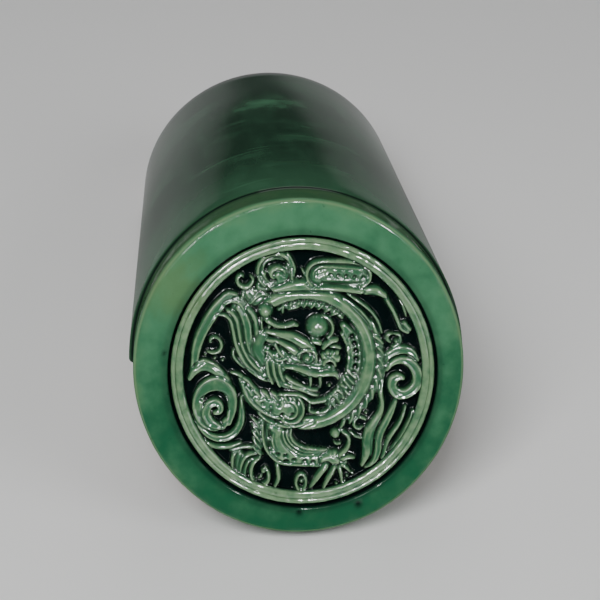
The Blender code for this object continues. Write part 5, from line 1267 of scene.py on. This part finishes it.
class Board:
    """Adds nodes to a material or a node group and links them."""

    def __init__(self, tree: bpy.types.NodeTree) -> None:
        """Takes the tree that the nodes go into."""
        self.tree = tree

    def node(self, kind: str, feeds: dict, **settings: object) -> bpy.types.Node:
        """Adds a node.

        Args:
            kind: The node's type, without its common first part.
            feeds: What goes into its inputs, a socket or a value by the input's name or number.
            settings: Its settings.

        Returns:
            The node.
        """
        made = self.tree.nodes.new("ShaderNode" + kind)
        for name, value in settings.items():
            setattr(made, name, value)
        for name, value in feeds.items():
            self.feed(made.inputs[name], value)
        return made

    def feed(self, socket: bpy.types.NodeSocket, value: object) -> None:
        """Links a socket into an input, or sets the input to a value."""
        if isinstance(value, bpy.types.NodeSocket):
            self.tree.links.new(value, socket)
        else:
            socket.default_value = value

    def maths(self, operation: str, a: object, b: object = 0.0) -> bpy.types.NodeSocket:
        """Works out a sum, a product or the like of two values."""
        return self.node("Math", {0: a, 1: b}, operation=operation).outputs[0]

    def total(self, *terms: object) -> bpy.types.NodeSocket:
        """Adds up several values."""
        return functools.reduce(functools.partial(self.maths, "ADD"), terms)

    def product(self, *terms: object) -> bpy.types.NodeSocket:
        """Multiplies several values."""
        return functools.reduce(functools.partial(self.maths, "MULTIPLY"), terms)

    def rest(self, share: object) -> bpy.types.NodeSocket:
        """Works out what is left of one after a share."""
        return self.maths("SUBTRACT", 1.0, share)

    def step(self, value: object, low: float, high: float, start: float = 0.0,
             end: float = 1.0) -> bpy.types.NodeSocket:
        """Goes smoothly from the start to the end while the value goes from low to high."""
        feeds = {"Value": value, "From Min": low, "From Max": high, "To Min": start, "To Max": end}
        return self.node("MapRange", feeds, interpolation_type="SMOOTHSTEP").outputs["Result"]

    def noise(self, place: object, grain: Grain) -> bpy.types.NodeSocket:
        """Looks up a cloudy noise, about 0.5 in the middle."""
        scale, detail, stretch = grain.value
        if stretch:
            place = self.scaled(place, stretch)
        return self.node("TexNoise", {"Vector": place, "Scale": scale, "Detail": detail}).outputs["Fac"]

    def uneven(self, noise: object, strength: float) -> bpy.types.NodeSocket:
        """Turns a noise into an unevenness: the noise less a half, times the strength."""
        return self.product(self.maths("SUBTRACT", noise, 0.5), strength)

    def blend(self, share: object, a: object, b: object) -> bpy.types.NodeSocket:
        """Blends two colours by a share."""
        return self.node("Mix", {0: share, 6: a, 7: b}, data_type="RGBA").outputs[2]

    def between(self, share: object, a: object, b: object) -> bpy.types.NodeSocket:
        """Blends two values by a share."""
        return self.node("Mix", {0: share, 2: a, 3: b}).outputs[0]

    def spot(self, place: object, centre: tuple, unevenness: object) -> bpy.types.NodeSocket:
        """Measures how far a place is from a centre, plus a share of an unevenness."""
        away = self.node("VectorMath", {0: place, 1: centre}, operation="DISTANCE").outputs["Value"]
        return self.total(away, self.product(unevenness, SPOT_RAGGEDNESS))

    def scaled(self, place: object, scale: tuple) -> bpy.types.NodeSocket:
        """Stretches a place by a factor for each axis."""
        return self.node("VectorMath", {0: place, 1: scale}, operation="MULTIPLY").outputs[0]


class Recipe:
    """A node group under construction, with its named inputs and outputs."""

    def __init__(self, name: str, takes: dict, gives: dict) -> None:
        """Opens the group.

        Args:
            name: The group's name.
            takes: The kind of each input by its name.
            gives: The kind of each output by its name.
        """
        self.tree = bpy.data.node_groups.new(name, "ShaderNodeTree")
        for way, sockets in (("INPUT", takes), ("OUTPUT", gives)):
            for socket, kind in sockets.items():
                self.tree.interface.new_socket(socket, in_out=way, socket_type="NodeSocket" + kind)
        self.board = Board(self.tree)
        self.takes = self.tree.nodes.new("NodeGroupInput").outputs
        self.gives = self.tree.nodes.new("NodeGroupOutput").inputs

    def close(self, **results: bpy.types.NodeSocket) -> bpy.types.NodeTree:
        """Links the results to the outputs, whose names they carry in lower case."""
        for name, socket in results.items():
            self.board.feed(self.gives[name.capitalize()], socket)
        return self.tree


@dataclass(frozen=True)
class GreenGlaze:
    """Lead glaze coloured with copper: pale where it runs thin, blue-black where it pools, with painted shade
    in hollows.

    A step's four numbers are where it starts, where it ends, and its value at the start and the end.
    """

    thin: tuple = (0.185, 0.310, 0.165, 1.0)
    form: tuple = (0.038, 0.140, 0.066, 1.0)
    high: tuple = (0.074, 0.222, 0.114, 1.0)
    middle: tuple = (0.013, 0.098, 0.046, 1.0)
    # blue-black of pooled glaze, also the colour of the painted shade in hollows
    deep: tuple = (0.002, 0.006, 0.006, 1.0)
    barrel: tuple = (0.008, 0.036, 0.017, 1.0)
    yellow: tuple = (0.150, 0.215, 0.075, 1.0)
    side: tuple = (0.026, 0.062, 0.026, 1.0)
    roughness: float = 0.10
    bump: float = 0.00012
    lump_height: float = 11.0
    mottling: float = 0.9
    flecking: float = 1.7
    warm_place: tuple = (-0.0455, 0.0, 0.0325)
    # painted highlight: the middle of a pale spot on the barrel's crown, standing in for a glint
    painted_glint_place: tuple = (-0.003, 0.1800, 0.0640)
    level: tuple = (1.0, 0.0, 1.0)
    wear_wander: float = 0.012
    # painted light: where and how much the disc's colour lightens from bottom to top
    painted_light_up_disc: tuple = (-0.062, 0.062, 0.10, 0.76)
    on_forms: tuple = (0.05, 0.40, 0.0, 1.0)
    on_relief: tuple = (0.0, 0.3, 0.0, 1.0)
    on_tops: tuple = (0.40, 0.95, 0.0, 0.50)
    on_crests: tuple = (0.0, 1.0, 0.0, 0.60)
    by_warm_place: tuple = (0.002, 0.018, 0.34, 0.0)
    on_worn_edge: tuple = (0.0585, 0.0670, 0.0, 0.30)
    on_side: tuple = (0.0012, 0.0040, 0.0, 0.70)
    on_barrel: tuple = (0.0150, 0.0175, 0.0, 1.0)
    near_disc: tuple = (0.016, 0.090, 0.30, 0.0)
    in_streaks: tuple = (0.42, 0.80, 0.0, 0.12)
    in_smears: tuple = (0.48, 0.76, 0.0, 0.20)
    in_turning: tuple = (0.56, 0.76, 0.0, 0.20)
    in_clouds: tuple = (0.48, 0.60, 0.0, 1.0)
    by_painted_glint_place: tuple = (-0.004, 0.019, 0.72, 0.0)
    at_far_end: tuple = (0.2440, 0.2500, 0.0, 0.95)
    in_specks: tuple = (0.68, 0.78, 0.0, 0.30)
    rougher: tuple = (0.3, 0.7, 0.0, 0.05)

    def disc_colour(self, board: Board, takes: Sockets, mottle: object,
                    along: Sockets) -> bpy.types.NodeSocket:
        """Colours the disc: painted light makes it paler towards its top; paler on crests and on the rim's
        worn outer edge.

        Args:
            board: The group's nodes.
            takes: The group's inputs.
            mottle: The glaze's cloudy unevenness.
            along: The place's X, Y and Z.

        Returns:
            The colour.
        """
        place, relief = takes["Place"], takes["Relief"]
        # painted light: the disc is lightened towards its top, as a brighter reflection from above would do
        rise = board.total(board.step(along["Z"], *self.painted_light_up_disc), mottle)
        body = board.blend(board.step(rise, 0.0, 1.0), self.middle, self.high)
        body = board.blend(board.step(relief, *self.on_forms), body, self.form)
        fleck = board.uneven(board.noise(place, Grain.FLECK), self.flecking)
        fleck = board.product(fleck, board.step(relief, *self.on_relief))
        thinness = board.total(board.step(takes["Crest"], *self.on_crests), fleck,
                               board.step(relief, *self.on_tops))
        colour = board.blend(board.step(thinness, 0.0, 1.0), body, self.thin)
        warm = board.spot(place, self.warm_place, mottle)
        colour = board.blend(board.step(warm, *self.by_warm_place), colour, self.yellow)
        level = board.scaled(place, self.level)
        out = board.node("VectorMath", {0: level}, operation="LENGTH").outputs["Value"]
        worn = board.total(out, board.product(mottle, self.wear_wander))
        colour = board.blend(board.step(worn, *self.on_worn_edge), colour, self.yellow)
        return board.blend(board.step(along["Y"], *self.on_side), colour, self.side)

    def barrel_colour(self, board: Board, place: object, clouds: tuple, back: object) -> bpy.types.NodeSocket:
        """Colours the barrel: dark, but paler near the disc and in streaks and marks, with one painted
        highlight spot on the crown.

        Args:
            board: The group's nodes.
            place: The place in the tile's own frame.
            clouds: The glaze's cloudy noise, its unevenness, and the noise drawn out along the barrel.
            back: How far back the place is.

        Returns:
            The colour.
        """
        cloud, mottle, streak = clouds
        mark = board.step(board.noise(place, Grain.TURNING), *self.in_turning)
        mark = board.product(mark, board.step(cloud, *self.in_clouds))
        lit = board.total(board.step(back, *self.near_disc), board.step(streak, *self.in_streaks),
                          board.step(board.noise(place, Grain.SMEAR), *self.in_smears), mark)
        colour = board.blend(lit, self.barrel, self.high)
        # painted highlight: a pale green spot on the crown near the far end stands in for a glint
        thin = board.spot(place, self.painted_glint_place, mottle)
        colour = board.blend(board.step(thin, *self.by_painted_glint_place), colour, self.high)
        return board.blend(board.step(back, *self.at_far_end), colour, self.deep)

    def group(self) -> bpy.types.NodeTree:
        """Writes the glaze's group: its colour, roughness and fine unevenness from place and masks.

        Returns:
            The node group.
        """
        recipe = Recipe("green_lead_glaze",
                        {"Place": "Vector", "Relief": "Float", "Hollow": "Float", "Crest": "Float"},
                        {"Colour": "Color", "Roughness": "Float", "Height": "Float"})
        board, takes = recipe.board, recipe.takes
        place = takes["Place"]
        along = board.node("SeparateXYZ", {0: place}).outputs
        cloud = board.noise(place, Grain.CLOUD)
        patch = board.noise(place, Grain.PATCH)
        mottle = board.total(board.uneven(cloud, self.mottling), board.uneven(patch, self.mottling))
        streak = board.noise(place, Grain.STREAK)
        behind = board.step(along["Y"], *self.on_barrel)
        colour = board.blend(behind, self.disc_colour(board, takes, mottle, along),
                             self.barrel_colour(board, place, (cloud, mottle, streak), along["Y"]))
        # painted shade over pooled glaze: the hollow mask turns ground, grooves and creases blue-black
        colour = board.blend(takes["Hollow"], colour, self.deep)
        speck = board.step(board.noise(place, Grain.SPECK), *self.in_specks)
        colour = board.blend(speck, colour, self.deep)
        roughness = board.total(board.step(cloud, *self.rougher), self.roughness)
        lump = board.product(board.noise(place, Grain.LUMP), board.step(takes["Relief"], *self.on_relief),
                             self.lump_height)
        height = board.total(cloud, board.product(streak, behind), lump)
        return recipe.close(colour=colour, roughness=roughness, height=height)


@dataclass(frozen=True)
class BareClay:
    """Fired clay where the glaze stops: pinkish buff."""

    light: tuple = (0.640, 0.520, 0.455, 1.0)
    dark: tuple = (0.460, 0.350, 0.295, 1.0)
    roughness: float = 0.78
    in_clouds: tuple = (0.30, 0.70, 0.0, 1.0)
    in_grains: tuple = (0.60, 0.75, 0.0, 0.5)
    grain_height: float = 0.5

    def group(self) -> bpy.types.NodeTree:
        """Writes the clay's group: its colour and its grain from the place.

        Returns:
            The node group.
        """
        recipe = Recipe("bare_fired_clay", {"Place": "Vector"}, {"Colour": "Color", "Height": "Float"})
        board, place = recipe.board, recipe.takes["Place"]
        cloud = board.noise(place, Grain.CLAY_CLOUD)
        grain = board.noise(place, Grain.CLAY_GRAIN)
        colour = board.blend(board.step(cloud, *self.in_clouds), self.light, self.dark)
        colour = board.blend(board.step(grain, *self.in_grains), colour, self.dark)
        height = board.total(cloud, board.product(grain, self.grain_height))
        return recipe.close(colour=colour, height=height)


@dataclass(frozen=True)
class TileSkin:
    """The tile's whole skin: glaze where it was dipped, bare clay past the glaze's uneven end."""

    glaze: GreenGlaze
    clay: BareClay
    glaze_end: tuple = (0.0030, 0.0036)
    end_wander: float = 0.010
    rim_gloss: float = 0.32
    in_gloss: tuple = (0.47, 0.58, 0.15, 1.0)
    past_rim: tuple = (0.0060, 0.0175)
    on_relief: tuple = (0.0, 0.2)
    far_gloss: tuple = (0.100, 0.260, 1.0, 1.6)
    coat_roughness: float = 0.08
    coat_ior: float = 1.7

    def coat(self, board: Board, place: object, masks: dict, bare: object) -> bpy.types.NodeSocket:
        """Works out the coat's weight: full on the relief, patchy on the rim, fuller at the far end.

        Args:
            board: The material's nodes.
            place: The place in the tile's own frame.
            masks: The mesh's masks by name.
            bare: The share of bare clay.

        Returns:
            The weight.
        """
        back = board.node("SeparateXYZ", {0: place}).outputs["Y"]
        patchy = board.step(board.noise(place, Grain.WORN), *self.in_gloss)
        whole = board.maths("MAXIMUM", board.step(back, *self.past_rim), patchy)
        rim = board.product(board.rest(masks["crest"]), self.rim_gloss, whole)
        coat = board.between(board.step(masks["relief"], *self.on_relief), rim, 1.0)
        return board.product(coat, board.step(back, *self.far_gloss), board.rest(bare))

    def material(self) -> bpy.types.Material:
        """Makes the material from the two groups and the mesh's masks.

        Returns:
            The material.
        """
        material = bpy.data.materials.new("green_glazed_clay")
        material.use_nodes = True
        board = Board(material.node_tree)
        place = board.node("Attribute", {}, attribute_name="own_place").outputs["Vector"]
        masks = {name: board.node("Attribute", {}, attribute_name=name).outputs["Fac"]
                 for name in ("relief", "hollow", "crest", "bare")}
        glaze = board.node("Group", {}, node_tree=self.glaze.group())
        board.feed(glaze.inputs["Place"], place)
        for name in ("relief", "hollow", "crest"):
            board.feed(glaze.inputs[name.capitalize()], masks[name])
        clay = board.node("Group", {}, node_tree=self.clay.group())
        board.feed(clay.inputs["Place"], place)
        ragged = board.uneven(board.noise(place, Grain.GLAZE_END), self.end_wander)
        bare = board.step(board.total(masks["bare"], ragged), *self.glaze_end)
        height = board.between(bare, glaze.outputs["Height"], clay.outputs["Height"])
        bump = board.node("Bump", {"Height": height, "Strength": 1.0, "Distance": self.glaze.bump})
        for name, value in {
                "Base Color": board.blend(bare, glaze.outputs["Colour"], clay.outputs["Colour"]),
                "Roughness": board.between(bare, glaze.outputs["Roughness"], self.clay.roughness),
                "Coat Weight": self.coat(board, place, masks, bare),
                "Coat Roughness": self.coat_roughness,
                "Coat IOR": self.coat_ior,
                "Specular IOR Level": 0.0,
                "Normal": bump.outputs["Normal"]}.items():
            board.feed(material.node_tree.nodes["Principled BSDF"].inputs[name], value)
        return material


@dataclass
class Studio:
    """The pale floor, the soft lights and the camera."""

    camera_place: tuple = (-0.0331, -0.6354, 0.4054)
    camera_heading: tuple = (0.0557, 0.7974, -0.6008)
    photo_focus: float = 823.0
    photo_side: float = 600.0
    aim_aside: float = -3.0
    aim_up: float = 76.0
    zoom: float = 2.0
    sensor: float = 36.0
    floor_size: float = 6.0
    floor_colour: tuple = (0.88, 0.88, 0.87, 1.0)
    floor_roughness: float = 0.85
    floor_specular: float = 0.2
    surround: tuple = (0.32, 0.33, 0.34, 1.0)
    surround_strength: float = 0.25
    lit_place: tuple = (0.0, -0.05, 0.06)
    soft_lamps: tuple = (("key", (-0.5, -1.1, 1.3), 0.9, 24.0), ("fill", (1.2, -0.9, 0.8), 0.9, 8.0),
                         ("back", (0.2, 1.5, 1.6), 1.2, 6.0))
    sparks: tuple = ((-0.45, -0.80, 1.00), (0.55, -0.70, 0.95), (0.05, -0.45, 1.25))
    spark_size: float = 0.14
    spark_power: float = 14.0

    def floor(self) -> bpy.types.Object:
        """Lays the pale floor, a plane at the height that the tile rests on."""
        s = self.floor_size / 2
        mesh = bpy.data.meshes.new("floor")
        mesh.from_pydata([(-s, -s, 0), (s, -s, 0), (s, s, 0), (-s, s, 0)], [], [(0, 1, 2, 3)])
        floor = bpy.data.objects.new("floor", mesh)
        bpy.context.scene.collection.objects.link(floor)
        material = bpy.data.materials.new("pale_floor")
        material.use_nodes = True
        shader = material.node_tree.nodes["Principled BSDF"]
        shader.inputs["Base Color"].default_value = self.floor_colour
        shader.inputs["Roughness"].default_value = self.floor_roughness
        shader.inputs["Specular IOR Level"].default_value = self.floor_specular
        mesh.materials.append(material)
        return floor

    def lamp(self, name: str, place: tuple, size: float, power: float) -> bpy.types.Object:
        """Hangs one soft square lamp that faces the tile.

        Args:
            name: The lamp's name.
            place: Where it hangs.
            size: Its side, in metres.
            power: Its power, in watts.

        Returns:
            The lamp.
        """
        data = bpy.data.lights.new(name, "AREA")
        data.size = size
        data.energy = power
        lamp = bpy.data.objects.new(name, data)
        lamp.location = place
        lamp.rotation_euler = (Vector(self.lit_place) - lamp.location).to_track_quat("-Z", "Y").to_euler()
        bpy.context.scene.collection.objects.link(lamp)
        return lamp

    def lights(self) -> None:
        """Hangs the large soft lamps, and the small ones that only sparkle in the carving."""
        for name, place, size, power in self.soft_lamps:
            self.lamp(name, place, size, power)
        for number, place in enumerate(self.sparks):
            spark = self.lamp(f"spark_{number}", place, self.spark_size, self.spark_power)
            spark.visible_diffuse = False
        world = bpy.data.worlds.new("surround")
        world.use_nodes = True
        background = world.node_tree.nodes["Background"].inputs
        background["Color"].default_value = self.surround
        background["Strength"].default_value = self.surround_strength
        bpy.context.scene.world = world

    def camera(self) -> None:
        """Sets the camera where the photograph was taken from, turned to the tile's middle and zoomed."""
        heading = Vector(self.camera_heading).normalized()
        right = heading.cross(Vector((0, 0, 1))).normalized()
        up = right.cross(heading)
        aim = heading * self.photo_focus + right * self.aim_aside + up * self.aim_up
        data = bpy.data.cameras.new("camera")
        data.sensor_width = self.sensor
        data.lens = self.sensor * self.zoom * self.photo_focus / self.photo_side
        camera = bpy.data.objects.new("camera", data)
        camera.location = self.camera_place
        camera.rotation_euler = aim.to_track_quat("-Z", "Y").to_euler()
        bpy.context.scene.collection.objects.link(camera)
        bpy.context.scene.camera = camera


def own_frame(barrel: Barrel) -> Matrix:
    """Finds the tile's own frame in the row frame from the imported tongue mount.

    The mount's axis runs along the barrel, and its point is at the crown in the middle of the
    tongue's end face.

    Args:
        barrel: The barrel, whose sizes say where that point is in the own frame.

    Returns:
        The matrix that carries a point from the own frame to the row frame.
    """
    mount = next(entry for entry in frame["record"]["mounts"] if entry["name"] == "tongue_end")
    along = Vector(mount["axis"])
    up = Vector((1, 0, 0)).cross(along)
    middle = barrel.tongue_radius - barrel.tongue_wall / 2
    origin = Vector(mount["pos_m"]) - along * barrel.end - up * middle
    carry = Matrix((Vector((1, 0, 0)), along, up)).transposed().to_4x4()
    carry.translation = origin
    return carry


def main() -> None:
    """Builds the tile and the studio and reports what was made."""
    logging.basicConfig(level=logging.INFO, format="%(message)s")
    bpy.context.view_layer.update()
    node_low, node_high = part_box(NODE)
    disc = EndDisc()
    barrel = Barrel(radius=(node_high.x - node_low.x) / 2, front=disc.thickness)
    carving = DragonMedallion(Carving()).carve()
    tile = EavesTile(barrel, disc, carving).build(own_frame(barrel))
    tile.data.materials.append(TileSkin(GreenGlaze(), BareClay()).material())
    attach(tile, "root")
    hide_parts(NODE)
    log.info("%s: %d vertices, %d faces", tile.name, len(tile.data.vertices), len(tile.data.polygons))
    studio = Studio()
    studio.floor()
    studio.lights()
    studio.camera()


if __name__ == "__main__":
    main()
